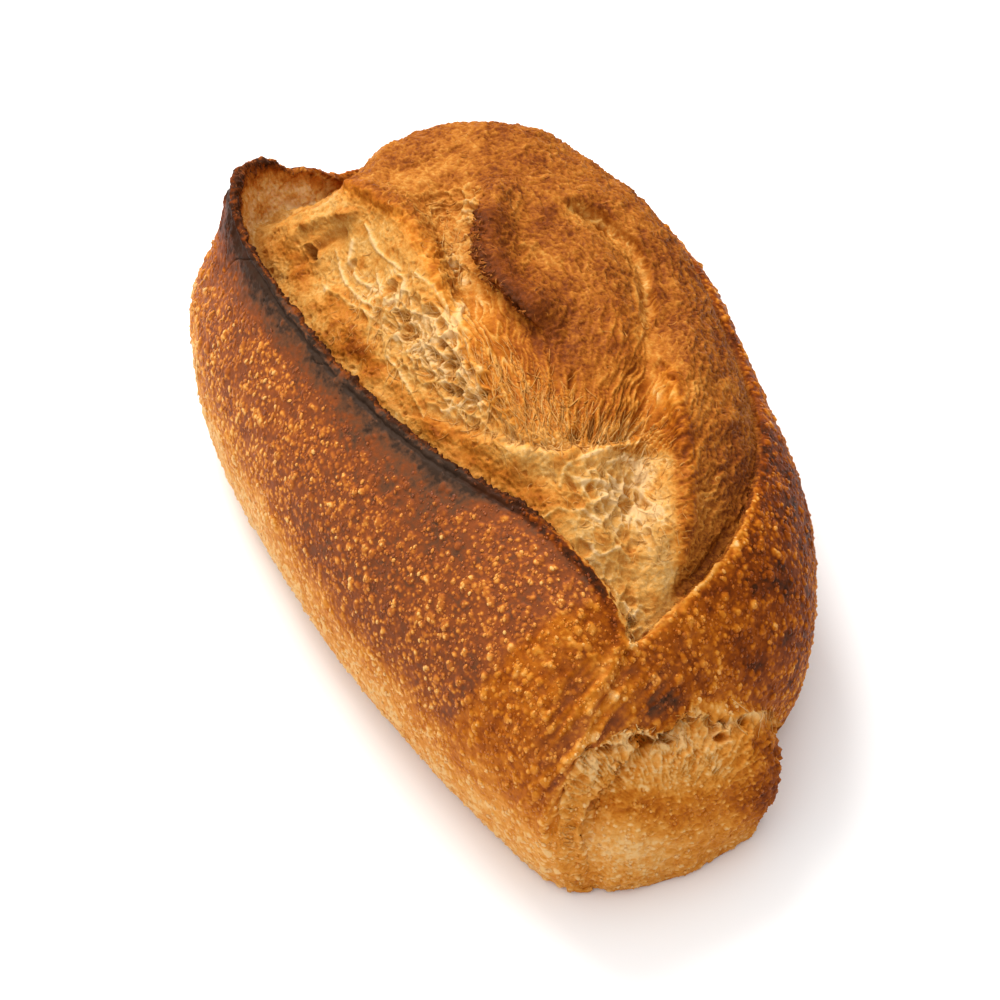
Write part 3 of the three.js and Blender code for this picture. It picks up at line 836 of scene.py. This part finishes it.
burst = np.maximum(bulge, cave)
crumb = crumb * (1 - burst)
crust = (1 - crumb) * (1 - burst)
flat_base = ease(1.2, 0.3, points[:, 2])

# ---------------- the whole skin's relief and baking
shift = np.zeros(len(points))
charred = np.zeros(len(points))
# The bake mark: how far each place browned, with painted light and shade added in where the fields say so.
marks = {name: np.zeros(len(points)) for name in ("bake", "amber", "soft")}

inner = np.nonzero(crumb > 0.02)[0]
relief, bake, orange = crumb_fields(
    *(values[inner] for values in (points, across, down, -lip, share, ear, under_ear, seen))
)
shift[inner] += relief * crumb[inner]
marks["bake"][inner] = bake
marks["soft"] = np.maximum(crumb, 0.1 * burst)
marks["soft"][inner] *= 1 - 0.7 * orange * (1 - under_ear[inner])

outer = np.nonzero(crust > 0.02)[0]
relief, bake, char, amber = crust_fields(*(values[outer] for values in (points, across, down, lip, share)))
shift[outer] += relief * crust[outer]
marks["bake"][outer] = np.where(crumb[outer] > 0.5, marks["bake"][outer], bake)
charred[outer] = char
marks["amber"][outer] = amber
marks["amber"] = np.maximum(marks["amber"], np.maximum(crumb, burst))

torn = np.nonzero(burst > 0.02)[0]
relief, bake = burst_fields(*(values[torn] for values in (points, across, down, bulge)))
shift[torn] += relief
marks["bake"][torn] = bake

seat = outer[(crust[outer] > 0.98) & (points[outer, 2] > 1.5)]
blistered, rise = raise_blisters(points, normal, seat, charred)
shift += rise
marks["bake"] -= 0.24 * blistered * (1 - 0.6 * charred)
marks["bake"] += 0.22 * flat_base

rim = bell(lip + 1.5, 1.8) * (0.35 + 0.65 * ear) + 2.4 * bell(mouth - 1, 0.10) * (points[:, 0] > 112)
jitter = 0.35 * wander(points, 1.5, 131) + 0.6 * wander(points, 3.8, 141)
keep = (1 - flat_base)[:, None]
smooth_points, inward = points, -normal
points = points + keep * (normal * shift[:, None] + jitter * np.clip(rim, 0, 2.4)[:, None])
points[:, 2] = np.maximum(points[:, 2], 0.0)
normal = facing(points, quads)
skin = BVHTree.FromPolygons(points.tolist(), quads.tolist())


# ---------------- making pieces
def add_piece(name, places, quads, triangles, marks, facings=None):
    """A mesh of quads and triangles, with its marks kept on its points, and its facings where given."""
    mesh = bpy.data.meshes.new(name)
    mesh.vertices.add(len(places))
    mesh.vertices.foreach_set("co", (places * MM).astype(np.float32).ravel())
    corners = np.concatenate((quads.ravel(), triangles.ravel())).astype(np.int32)
    mesh.loops.add(len(corners))
    mesh.loops.foreach_set("vertex_index", corners)
    begins = np.concatenate((np.arange(len(quads)) * 4, len(quads) * 4 + np.arange(len(triangles)) * 3))
    mesh.polygons.add(len(begins))
    mesh.polygons.foreach_set("loop_start", begins.astype(np.int32))
    mesh.update(calc_edges=True)
    for mark, values in marks.items():
        mesh.attributes.new(mark, "FLOAT", "POINT").data.foreach_set("value", values.astype(np.float32))
    mesh.polygons.foreach_set("use_smooth", np.ones(len(begins), bool))
    if facings is not None:
        mesh.normals_split_custom_set_from_vertices(facings.tolist())
    piece = bpy.data.objects.new(name, mesh)
    bpy.context.scene.collection.objects.link(piece)
    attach(piece, "root")
    return piece


def open_loops(quads):
    """The open borders of some faces, as loops of points."""
    ends = np.stack((quads, np.roll(quads, -1, 1)), 2).reshape(-1, 2)
    keys = ends[:, 0].astype(np.int64) << 32 | ends[:, 1]
    back_keys = ends[:, 1].astype(np.int64) << 32 | ends[:, 0]
    border = ends[~np.isin(keys, back_keys)]
    following = {}
    for a, b in border:
        following.setdefault(int(b), []).append(int(a))
    loops = []
    while following:
        start = next(iter(following))
        loop = [start]
        while True:
            choices = following[loop[-1]]
            after = choices.pop()
            if not choices:
                del following[loop[-1]]
            if after == start:
                break
            loop.append(after)
        loops.append(loop)
    return loops


def sunk(loop, points, inward):
    """A cut's border sunk under the skin, less deep where the loaf is thin."""
    depth = np.full(len(loop), CUT_DEPTH)
    for i, at in enumerate(loop):
        far = skin.ray_cast(Vector(points[at] + 0.3 * inward[at]), Vector(inward[at]))[3]
        if far is not None:
            depth[i] = min(CUT_DEPTH, 0.2 + 0.25 * far)
    for even in (np.min, np.mean):
        depth = even([np.roll(depth, k) for k in range(-CUT_EVEN, CUT_EVEN + 1)], 0)
    return points[loop] + inward[loop] * depth[:, None]


def capped(quads, base, points, inward, cut_sides):
    """What closes a slice on its cut sides: the border points used, points sunk in from them, and faces."""
    loops = open_loops(quads)
    starts, deep, walls, fills = [], [], [], []
    for at, sign in cut_sides:
        rings = []
        for loop in loops:
            if abs(np.mean(base[loop, 0]) - at) < CUT_SLACK:
                ring = len(starts) + np.arange(len(loop))
                starts.extend(loop)
                deep.extend(sunk(loop, points, inward))
                wall = (np.array(loop), np.roll(loop, -1), -1 - np.roll(ring, -1), -1 - ring)
                walls.append(np.stack(wall, 1))
                rings.append(ring)
        flat = [[Vector((0.0, base[starts[i], 1], base[starts[i], 2])) for i in ring] for ring in rings]
        names = np.concatenate(rings)
        fill = np.array([[names[i] for i in face] for face in tessellate_polygon(flat)])
        a, b, c = (np.array(deep)[fill[:, k]] for k in range(3))
        turned = np.cross(b - a, c - a)[:, 0] * sign < 0
        fill[turned] = fill[turned][:, ::-1]
        fills.append(-1 - fill)
    return np.array(starts, int), np.array(deep), np.concatenate(walls), np.concatenate(fills)


def sliced(base, points, inward, normal, quads, marks):
    """The loaf's skin as closed slices, cut where the skin lay before its relief was raised."""
    middles = base[quads].mean(1)[:, 0]
    cuts = [-1e3, *np.quantile(middles, np.arange(1, SLICES) / SLICES), 1e3]
    out = []
    for i in range(SLICES):
        own = quads[(middles >= cuts[i]) & (middles < cuts[i + 1])]
        sides = [(cuts[i], -1)] * (i > 0) + [(cuts[i + 1], 1)] * (i < SLICES - 1)
        starts, deep, walls, fills = capped(own, base, points, inward, sides)
        used, renamed = np.unique(own, return_inverse=True)
        place_of = np.zeros(len(points), int)
        place_of[used] = np.arange(len(used))
        walls = np.where(walls < 0, len(used) - 1 - walls, place_of[np.maximum(walls, 0)])
        fills = len(used) - 1 - fills
        from_skin = np.concatenate((used, starts))
        own_marks = {mark: values[from_skin] for mark, values in marks.items()}
        faces = np.concatenate((renamed.reshape(-1, 4), walls))
        places = np.concatenate((points[used], deep))
        piece = add_piece(f"loaf_slice_{i + 1}", places, faces, fills, own_marks, normal[from_skin])
        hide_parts("loaf")
        out.append(piece)
    return out


slices = sliced(smooth_points, points, inward, normal, quads, marks)


# ---------------- small blisters
def blister_shape():
    """One dome of unit radius, flat below: its points and its triangles."""
    bpy.ops.object.select_all(action="DESELECT")
    bpy.ops.mesh.primitive_uv_sphere_add(segments=6, ring_count=4, radius=1.0)
    dome = bpy.context.object
    bpy.ops.object.mode_set(mode="EDIT")
    bpy.ops.mesh.select_all(action="SELECT")
    bpy.ops.mesh.bisect(plane_co=(0, 0, 0), plane_no=(0, 0, 1), use_fill=True, clear_inner=True)
    bpy.ops.mesh.select_all(action="SELECT")
    bpy.ops.mesh.quads_convert_to_tris()
    bpy.ops.object.mode_set(mode="OBJECT")
    shape = np.array([v.co for v in dome.data.vertices])
    faces = np.array([list(p.vertices) for p in dome.data.polygons])
    bpy.data.objects.remove(dome)
    return shape, faces


def small_blisters(name, seats, seed):
    """Copies of the dome over the crust, each with its own size, stretch, turn and baking."""
    dice = np.random.default_rng(seed)
    shape, faces = blister_shape()
    count = min(len(seats), MOST_TRIANGLES // len(faces))
    chosen = dice.choice(seats, count, replace=False)
    out = np.empty((count, len(shape), 3))
    for i, start in enumerate(chosen):
        place, up = points[start], normal[start]
        along, side = flow(place, up)
        turn = dice.normal() * 0.45
        c, s = math.cos(turn), math.sin(turn)
        along, side = along * c + side * s, side * c - along * s
        radius = 0.26 + 0.46 * dice.random() ** 1.8
        stretch = 1.0 + dice.random() * (1.7 if place[0] < -20 else 0.6)
        local = shape * (radius * stretch, radius, radius * (0.55 + 0.25 * dice.random()))
        out[i] = place + local[:, :1] * along + local[:, 1:2] * side + (local[:, 2:] - 0.10 * radius) * up
    triangles = (faces[None] + (np.arange(count) * len(shape))[:, None, None]).reshape(-1, 3)
    own = {mark: np.repeat(values[chosen], len(shape)) for mark, values in marks.items()}
    own_char = np.repeat(charred[chosen], len(shape))
    paler = np.repeat(0.10 + 0.22 * dice.random(count), len(shape))
    own["bake"] = own["bake"] - paler * (1 - 0.75 * own_char) * (1 - 0.5 * own["amber"])
    return add_piece(name, out.reshape(-1, 3), np.zeros((0, 4), int), triangles, own)


crowd = grain(points[seat], 9.0, 151) + 0.5 * grain(points[seat], 3.0, 152)
open_crust = (charred[seat] < 0.5) & (points[seat, 2] > 5) & (crowd > -0.55)
faces_camera = (normal[seat] @ camera_axes()[0]) > 0.05
near_seats, far_seats = seat[open_crust & faces_camera], seat[open_crust & ~faces_camera]
on_bulge = np.nonzero((bulge > 0.5) & (down > BULGE_BLISTERS_TOP) & (points[:, 2] > 3))[0]
near_seats = np.concatenate((near_seats, on_bulge[::2]))
blisters = [
    small_blisters("small_blisters_near", near_seats, 161),
    small_blisters("small_blisters_far", far_seats, 162),
]


# ---------------- strands and shreds
def under_pixel(across, down):
    """The skin's point under a pixel of the photograph, or None."""
    back, right, up = camera_axes()
    way = -back + right * (across - PHOTO_SIDE / 2) / FOCAL - up * (down - PHOTO_SIDE / 2) / FOCAL
    return skin.ray_cast(Vector(CAMERA_AIM + back * CAMERA_DISTANCE), Vector(way))[0]


def pixel_way(across, down):
    """A direction of the photograph as a direction in the loaf's frame."""
    _, right, up = camera_axes()
    return Vector(right * across - up * down).normalized()


def creep(start, way, bend, step, steps, lift):
    """A path that creeps over the skin, turning by bend at each step, and the skin's facings under it."""
    place, path, up = Vector(start), [], []
    for _ in range(steps):
        on, facing, _, _ = skin.find_nearest(place)
        path.append(on + facing * lift)
        up.append(facing)
        way = way - facing * way.dot(facing)
        way.rotate(Quaternion(facing, bend))
        way.normalize()
        place = on + way * step
    return path, up


def tubes(name, laid, sides):
    """Closed tapered tubes of dough, each laid as a path, the facings under it, its radius and its baking."""
    paths, ups, radii, bake = zip(*laid)
    path, up = np.array(paths, float), np.array(ups, float)
    count, steps, _ = path.shape
    for _ in range(2):
        path[:, 1:-1] = 0.5 * path[:, 1:-1] + 0.25 * (path[:, :-2] + path[:, 2:])
    along = np.gradient(path, axis=1)
    along /= np.maximum(np.linalg.norm(along, axis=2), 1e-9)[..., None]
    side = np.cross(along, up)
    side /= np.maximum(np.linalg.norm(side, axis=2), 1e-9)[..., None]
    over = np.cross(side, along)
    taper = np.sin(np.linspace(0.12, 0.88, steps) * math.pi) ** 0.55
    ring = np.arange(sides) * 2 * math.pi / sides
    reach = np.array(radii)[:, None, None, None] * taper[None, :, None, None]
    wheel = np.cos(ring)[:, None] * side[:, :, None] + np.sin(ring)[:, None] * over[:, :, None]
    places = (path[:, :, None] + reach * wheel).reshape(count, -1, 3)
    places = np.concatenate((places, path[:, :1], path[:, -1:]), 1)
    each = steps * sides + 2
    quads = np.array([
        (s * sides + k, s * sides + (k + 1) % sides, (s + 1) * sides + (k + 1) % sides, (s + 1) * sides + k)
        for s in range(steps - 1) for k in range(sides)
    ])
    first, last = steps * sides, (steps - 1) * sides
    caps = np.array([(first, (k + 1) % sides, k) for k in range(sides)]
                    + [(first + 1, last + k, last + (k + 1) % sides) for k in range(sides)])
    base = (np.arange(count) * each)[:, None, None]
    ones = np.ones(count * each)
    own = {"bake": np.repeat(bake, each), "amber": ones, "soft": ones}
    quads, caps = (quads + base).reshape(-1, 4), (caps + base).reshape(-1, 3)
    return add_piece(name, places.reshape(-1, 3), quads, caps, own)


def skin_corner(place):
    """A point of the skin's face that is nearest to a place."""
    return quads[skin.find_nearest(place)[2], 0]


def on_line(line, dice, spread):
    """A pixel somewhere along a line, and up to about this spread beside it."""
    at = dice.random() * (len(line) - 1)
    i = int(at)
    start, end = np.array(line[i], float), np.array(line[i + 1], float)
    return start + (at - i) * (end - start) + dice.normal(size=2) * spread


def drawn(path, up, tight, bow):
    """A path pulled towards the straight line between its ends, and bowed off the skin."""
    first, last = path[0], path[-1]
    out = []
    for p, n, t in zip(path, up, np.linspace(0, 1, len(path))):
        out.append(p.lerp(first.lerp(last, t), tight) + n * bow * math.sin(math.pi * t))
    return out


def slope_strands():
    """Thin stretched strands over the pale slope, the fan and the ledge."""
    dice = np.random.default_rng(171)
    laid = []
    tries = 0
    while len(laid) < SLOPE_STRANDS and tries < 9 * SLOPE_STRANDS:
        tries += 1
        line, width, _, kind = STRAND_PLACES[dice.choice(len(STRAND_PLACES), p=STRAND_SHARES)]
        u, v = on_line(line, dice, width * 0.7)
        place = under_pixel(u, v)
        if place is None or crumb[skin_corner(place)] < 0.9:
            continue
        if kind == "fan":
            way = np.array((FAN_CENTRE[0] - u, FAN_CENTRE[1] - v))
            way = way / np.linalg.norm(way) + dice.normal(size=2) * 0.12
        elif kind == "slope":
            way = np.array(SLOPE_WAY if dice.random() < 0.6 else CROSS_WAY) + dice.normal(size=2) * 0.45
        else:
            way = dice.normal(size=2)
        length = (5.0 + 8.0 * dice.random() ** 2) * (0.5 if kind == "any" else 1.0)
        bend = dice.normal() * (0.08 if kind == "fan" else 0.20)
        path, up = creep(place, pixel_way(*way), bend, length / 8, 9, 0.02)
        path = drawn(path, up, 0.40, 0.05 + 0.15 * dice.random())
        radius = 0.09 + 0.17 * dice.random() ** 2
        bake = 0.06 + 0.10 * dice.random() + 0.45 * marks["bake"][skin_corner(place)]
        laid.append((path, up, radius, bake))
    return tubes("crumb_strands", laid, 4)


def dome_curls():
    """Short curled wrinkles of dough, half sunk in the browned dome."""
    dice = np.random.default_rng(172)
    browned = np.nonzero((crumb > 0.95) & (under_ear < 0.5) & (marks["bake"] > 0.42))[0]
    laid = []
    for start in dice.choice(browned, DOME_CURLS, replace=False):
        way = Vector(dice.normal(size=3))
        length = 1.8 + 3.2 * dice.random()
        path, up = creep(points[start], way, dice.normal() * 0.5, length / 7, 8, -0.04)
        radius = 0.12 + 0.12 * dice.random()
        laid.append((path, up, radius, marks["bake"][start] - 0.02 - 0.18 * dice.random()))
    return tubes("dome_curls", laid, 4)


def torn_threads():
    """Threads of dough drawn down from the tear over the bulge, and across the V."""
    dice = np.random.default_rng(174)
    laid = []
    for line, aim, length, count in TORN_PLACES:
        for _ in range(count):
            u, v = on_line(line, dice, 2.5)
            place = under_pixel(u, v)
            if place is None:
                continue
            way = np.array((aim[0] - u, aim[1] - v))
            way = way / np.linalg.norm(way) + dice.normal(size=2) * 0.22
            reach = length * (0.45 + 0.8 * dice.random())
            path, up = creep(place, pixel_way(*way), dice.normal() * 0.13, reach / 9, 10, 0.05)
            path = drawn(path, up, 0.55, 0.2 + 0.5 * dice.random())
            radius = 0.10 + 0.20 * dice.random() ** 2.5
            bake = 0.02 + 0.16 * dice.random() + 0.6 * marks["bake"][skin_corner(place)]
            laid.append((path, up, radius, bake))
    return tubes("torn_threads", laid, 5)


def shreds():
    """Scorched shreds along the flap's edge and frayed bits along the ear's rim."""
    dice = np.random.default_rng(175)
    laid = []
    for _ in range(FLAP_SHREDS):
        place = under_pixel(*on_line(FLAP_EDGE, dice, 3.5))
        way = pixel_way(*(np.array(FLAP_SHRED_WAY) + dice.normal(size=2) * 0.6))
        path, up = creep(place, way, dice.normal() * 0.4, 0.30, 6, 0.0)
        rising = 0.04 + 0.16 * dice.random()
        path = [p + n * rising * k for k, (p, n) in enumerate(zip(path, up))]
        laid.append((path, up, 0.16 + 0.20 * dice.random(), 0.56 + 0.28 * dice.random()))
    fringe = np.nonzero((np.abs(-lip - 2.2) < 1.3) & (ear > 0.4) & (points[:, 2] > 60))[0]
    for start in dice.choice(fringe, RIM_SHREDS, replace=False):
        way = Vector(dice.normal(size=3))
        path, up = creep(points[start], way, dice.normal() * 0.4, 0.16 + 0.14 * dice.random(), 6, 0.0)
        laid.append((path, up, 0.13 + 0.14 * dice.random(), 0.74 + 0.24 * dice.random()))
    return tubes("shreds", laid, 4)


threads = [slope_strands(), dome_curls(), torn_threads(), shreds()]

# ---------------- finishes
# Baking to colour: how far a place is baked, with painted light and shade added in, from 0 to 1, and its
# colour there.
AMBER_COLOURS = [
    (0.00, (0.74, 0.44, 0.170)), (0.12, (0.70, 0.34, 0.085)), (0.26, (0.63, 0.245, 0.034)),
    (0.40, (0.53, 0.172, 0.013)), (0.54, (0.41, 0.106, 0.0045)), (0.68, (0.27, 0.058, 0.0020)),
    (0.82, (0.155, 0.028, 0.0015)), (0.94, (0.074, 0.016, 0.002)), (1.00, (0.039, 0.011, 0.003)),
]
# Rosy crust of the near side: its bluer, greyer cast is partly the crust's own colour, partly painted sheen
# from the light behind.
ROSY_AND_SHEEN_COLOURS = [
    (0.00, (0.74, 0.4, 0.113)), (0.12, (0.67, 0.287, 0.054)), (0.28, (0.53, 0.174, 0.024)),
    (0.44, (0.355, 0.094, 0.014)), (0.58, (0.235, 0.057, 0.013)), (0.72, (0.170, 0.045, 0.013)),
    (0.84, (0.120, 0.044, 0.018)), (0.93, (0.070, 0.032, 0.017)), (1.00, (0.036, 0.019, 0.011)),
]
CRUMB_COLOURS = [
    (0.00, (0.68, 0.43, 0.190)), (0.12, (0.61, 0.34, 0.105)), (0.26, (0.55, 0.255, 0.052)),
    (0.40, (0.47, 0.176, 0.026)), (0.54, (0.37, 0.116, 0.013)), (0.68, (0.26, 0.070, 0.0070)),
    (0.82, (0.16, 0.035, 0.0045)), (1.00, (0.045, 0.013, 0.004)),
]


def link(tree, value, socket):
    """Joins a socket to another, or sets its number."""
    if isinstance(value, (int, float, tuple)):
        socket.default_value = value
    else:
        tree.links.new(value, socket)


def mark_of(tree, name):
    """The value of a piece's own mark."""
    made = tree.nodes.new("ShaderNodeAttribute")
    made.attribute_name = name
    return made.outputs["Fac"]


def maths(tree, operation, a, b=0.0, c=0.0, clamp=False):
    """One sum on sockets or numbers."""
    made = tree.nodes.new("ShaderNodeMath")
    made.operation = operation
    made.use_clamp = clamp
    for socket, value in zip(made.inputs, (a, b, c)):
        link(tree, value, socket)
    return made.outputs[0]


def noise(tree, place, scale, detail, rough, twist=0.0):
    """Noise of 0 to 1; twist bends it into curls."""
    made = tree.nodes.new("ShaderNodeTexNoise")
    inputs = ("Vector", "Scale", "Detail", "Roughness", "Distortion")
    for name, value in zip(inputs, (place, scale, detail, rough, twist)):
        link(tree, value, made.inputs[name])
    return made.outputs["Fac"]


def ranged(tree, value, low, high):
    """0 at low and 1 at high."""
    made = tree.nodes.new("ShaderNodeMapRange")
    for name, given in (("Value", value), ("From Min", low), ("From Max", high)):
        link(tree, given, made.inputs[name])
    return made.outputs["Result"]


def mixed(tree, share, first, second):
    """Two colours mixed by a share of the second."""
    made = tree.nodes.new("ShaderNodeMix")
    made.data_type = "RGBA"
    for index, value in ((0, share), (6, first), (7, second)):
        link(tree, value, made.inputs[index])
    return made.outputs[2]


def ramp(tree, stops, factor):
    """A colour read off a row of stops."""
    made = tree.nodes.new("ShaderNodeValToRGB")
    band = made.color_ramp
    band.elements.remove(band.elements[-1])
    band.elements[0].position, band.elements[0].color = stops[0][0], (*stops[0][1], 1)
    for at, colour in stops[1:]:
        band.elements.new(at).color = (*colour, 1)
    link(tree, factor, made.inputs["Fac"])
    return made.outputs["Color"]


def new_group(name, inputs, outputs):
    """A shader node group with its named sockets, and its tree's ends."""
    tree = bpy.data.node_groups.new(name, "ShaderNodeTree")
    for socket, kind, value in inputs:
        made = tree.interface.new_socket(socket, in_out="INPUT", socket_type=kind)
        if value is not None:
            made.default_value = value
    for socket, kind in outputs:
        tree.interface.new_socket(socket, in_out="OUTPUT", socket_type=kind)
    return tree, tree.nodes.new("NodeGroupInput"), tree.nodes.new("NodeGroupOutput")


def baked_colour_group():
    """Baking to colour: rosy or amber crust, or crumb, speckled finely, with pale curls where it is soft; the
    rosy crust's bluer cast is partly painted sheen, and the pale curls are partly painted highlights.
    """
    inputs = [
        ("Place", "NodeSocketVector", None), ("Bake", "NodeSocketFloat", 0.4),
        ("Amber", "NodeSocketFloat", 1.0), ("Soft", "NodeSocketFloat", 0.0),
        ("Fine Scale", "NodeSocketFloat", 900.0), ("Speckle", "NodeSocketFloat", 0.2),
    ]
    outputs = [("Color", "NodeSocketColor"), ("Height", "NodeSocketFloat"), ("Speck", "NodeSocketFloat")]
    tree, start, end = new_group("baked_colour", inputs, outputs)
    place = start.outputs["Place"]
    fine = noise(tree, place, start.outputs["Fine Scale"], 3.0, 0.62)
    mid = noise(tree, place, maths(tree, "MULTIPLY", start.outputs["Fine Scale"], 0.36), 3.0, 0.55)
    both = maths(tree, "ADD", maths(tree, "SUBTRACT", fine, 0.5), maths(tree, "SUBTRACT", mid, 0.5))
    bake = maths(tree, "MULTIPLY_ADD", both, start.outputs["Speckle"], start.outputs["Bake"])
    # Pale twisted curls where it is soft: partly pale strands of dough, partly painted highlights on them.
    twisted = noise(tree, place, maths(tree, "MULTIPLY", start.outputs["Fine Scale"], 0.5), 1.0, 0.5, 1.6)
    thin = maths(tree, "ABSOLUTE", maths(tree, "SUBTRACT", twisted, 0.5))
    curls = maths(tree, "MULTIPLY_ADD", thin, -14.0, 1.0, clamp=True)
    soft_curls = maths(tree, "MULTIPLY", curls, start.outputs["Soft"])
    bake = maths(tree, "MULTIPLY_ADD", soft_curls, -0.09, bake, clamp=True)
    blur = maths(tree, "MULTIPLY_ADD", maths(tree, "SUBTRACT", mid, 0.5), 0.9, start.outputs["Amber"])
    share = ranged(tree, blur, 0.25, 0.75)
    crust = mixed(tree, share, ramp(tree, ROSY_AND_SHEEN_COLOURS, bake), ramp(tree, AMBER_COLOURS, bake))
    colour = mixed(tree, start.outputs["Soft"], crust, ramp(tree, CRUMB_COLOURS, bake))
    link(tree, colour, end.inputs["Color"])
    height = maths(tree, "MULTIPLY_ADD", mid, 1.6, fine)
    link(tree, maths(tree, "MULTIPLY_ADD", soft_curls, 0.5, height), end.inputs["Height"])
    link(tree, mid, end.inputs["Speck"])
    return tree


COLOURING = baked_colour_group()


def baked_finish(name, fine_scale, speckle, crust_dull, crumb_dull, bump_depth, shine):
    """One baked material: its colour follows the marks, with its own grain, dullness and bump."""
    made = bpy.data.materials.new(name)
    made.use_nodes = True
    tree = made.node_tree
    tree.nodes.clear()
    coordinates = tree.nodes.new("ShaderNodeTexCoord")
    colouring = tree.nodes.new("ShaderNodeGroup")
    colouring.node_tree = COLOURING
    link(tree, coordinates.outputs["Object"], colouring.inputs["Place"])
    for mark in ("Bake", "Amber", "Soft"):
        link(tree, mark_of(tree, mark.lower()), colouring.inputs[mark])
    colouring.inputs["Fine Scale"].default_value = fine_scale
    colouring.inputs["Speckle"].default_value = speckle
    shader = tree.nodes.new("ShaderNodeBsdfPrincipled")
    link(tree, colouring.outputs["Color"], shader.inputs["Base Color"])
    dull = maths(tree, "MULTIPLY_ADD", mark_of(tree, "soft"), crumb_dull - crust_dull, crust_dull)
    speck = maths(tree, "SUBTRACT", colouring.outputs["Speck"], 0.5)
    link(tree, maths(tree, "MULTIPLY_ADD", speck, 0.3, dull), shader.inputs["Roughness"])
    shader.inputs["Specular IOR Level"].default_value = shine
    bump = tree.nodes.new("ShaderNodeBump")
    bump.inputs["Strength"].default_value = 0.6
    bump.inputs["Distance"].default_value = bump_depth * MM
    link(tree, colouring.outputs["Height"], bump.inputs["Height"])
    link(tree, bump.outputs["Normal"], shader.inputs["Normal"])
    out = tree.nodes.new("ShaderNodeOutputMaterial")
    link(tree, shader.outputs["BSDF"], out.inputs["Surface"])
    return made


baked_loaf = baked_finish("baked_loaf", 900.0, 0.26, 0.52, 0.50, 0.28, 0.05)
blister_skin = baked_finish("blister_skin", 700.0, 0.22, 0.36, 0.40, 0.10, 0.16)
stretched_strand = baked_finish("stretched_strand", 1100.0, 0.24, 0.5, 0.55, 0.12, 0.16)
for pieces, finish in ((slices, baked_loaf), (blisters, blister_skin), (threads, stretched_strand)):
    for piece in pieces:
        piece.data.materials.append(finish)

# ---------------- camera, floor and light, in metres
FLOOR_SIDE = 8.0
FLOOR_DROP = 0.0002
FLOOR_COLOUR = (0.93, 0.925, 0.92, 1)
WHITE = (1.0, 1.0, 1.0)
LAMPS = [  # name, place to the camera's right, away from it and up, height aimed at, size, watts, colour
    ("key", (-0.45, 0.82, 1.16), 0.05, 0.7, 18.5, (1.0, 0.985, 0.96)),
    ("overhead", (-0.25, 0.20, 1.5), 0.0, 2.8, 24.0, WHITE),
    ("front", (-0.60, -1.00, 0.80), 0.04, 1.4, 3.0, WHITE),
]
ROOM_LIGHT = 0.55


def look(piece, place, way):
    """Puts a camera or lamp at a place, looking in a direction."""
    bpy.context.scene.collection.objects.link(piece)
    piece.location = place
    piece.rotation_mode = "QUATERNION"
    piece.rotation_quaternion = Vector(way).to_track_quat("-Z", "Y")


back, right, _ = camera_axes()
lens = bpy.data.cameras.new("camera")
lens.lens = LENS
lens.sensor_width = SENSOR
lens.clip_start = 0.05
lens.clip_end = 20.0
camera = bpy.data.objects.new("camera", lens)
look(camera, (CAMERA_AIM + back * CAMERA_DISTANCE) * MM, -back)
bpy.context.scene.camera = camera

bpy.ops.object.select_all(action="DESELECT")
bpy.ops.mesh.primitive_plane_add(size=FLOOR_SIDE, location=(0, 0, -FLOOR_DROP))
floor = bpy.context.object
floor.name = "floor"
white_floor = bpy.data.materials.new("white_floor")
white_floor.use_nodes = True
white_floor.node_tree.nodes["Principled BSDF"].inputs["Base Color"].default_value = FLOOR_COLOUR
white_floor.node_tree.nodes["Principled BSDF"].inputs["Roughness"].default_value = 0.9
floor.data.materials.append(white_floor)

away = np.array((-math.sin(CAMERA_AZIMUTH), math.cos(CAMERA_AZIMUTH), 0))
for name, (to_right, to_back, height), aim, size, watts, colour in LAMPS:
    lamp = bpy.data.lights.new(name, "AREA")
    lamp.shape = "DISK"
    lamp.size = size
    lamp.energy = watts
    lamp.color = colour
    place = to_right * right + to_back * away + np.array((0, 0, height))
    look(bpy.data.objects.new(name, lamp), place, np.array((0, 0, aim)) - place)

room = bpy.data.worlds.new("studio")
room.use_nodes = True
room.node_tree.nodes["Background"].inputs["Color"].default_value = (*WHITE, 1)
room.node_tree.nodes["Background"].inputs["Strength"].default_value = ROOM_LIGHT
bpy.context.scene.world = room
bpy.context.scene.view_settings.view_transform = "Standard"
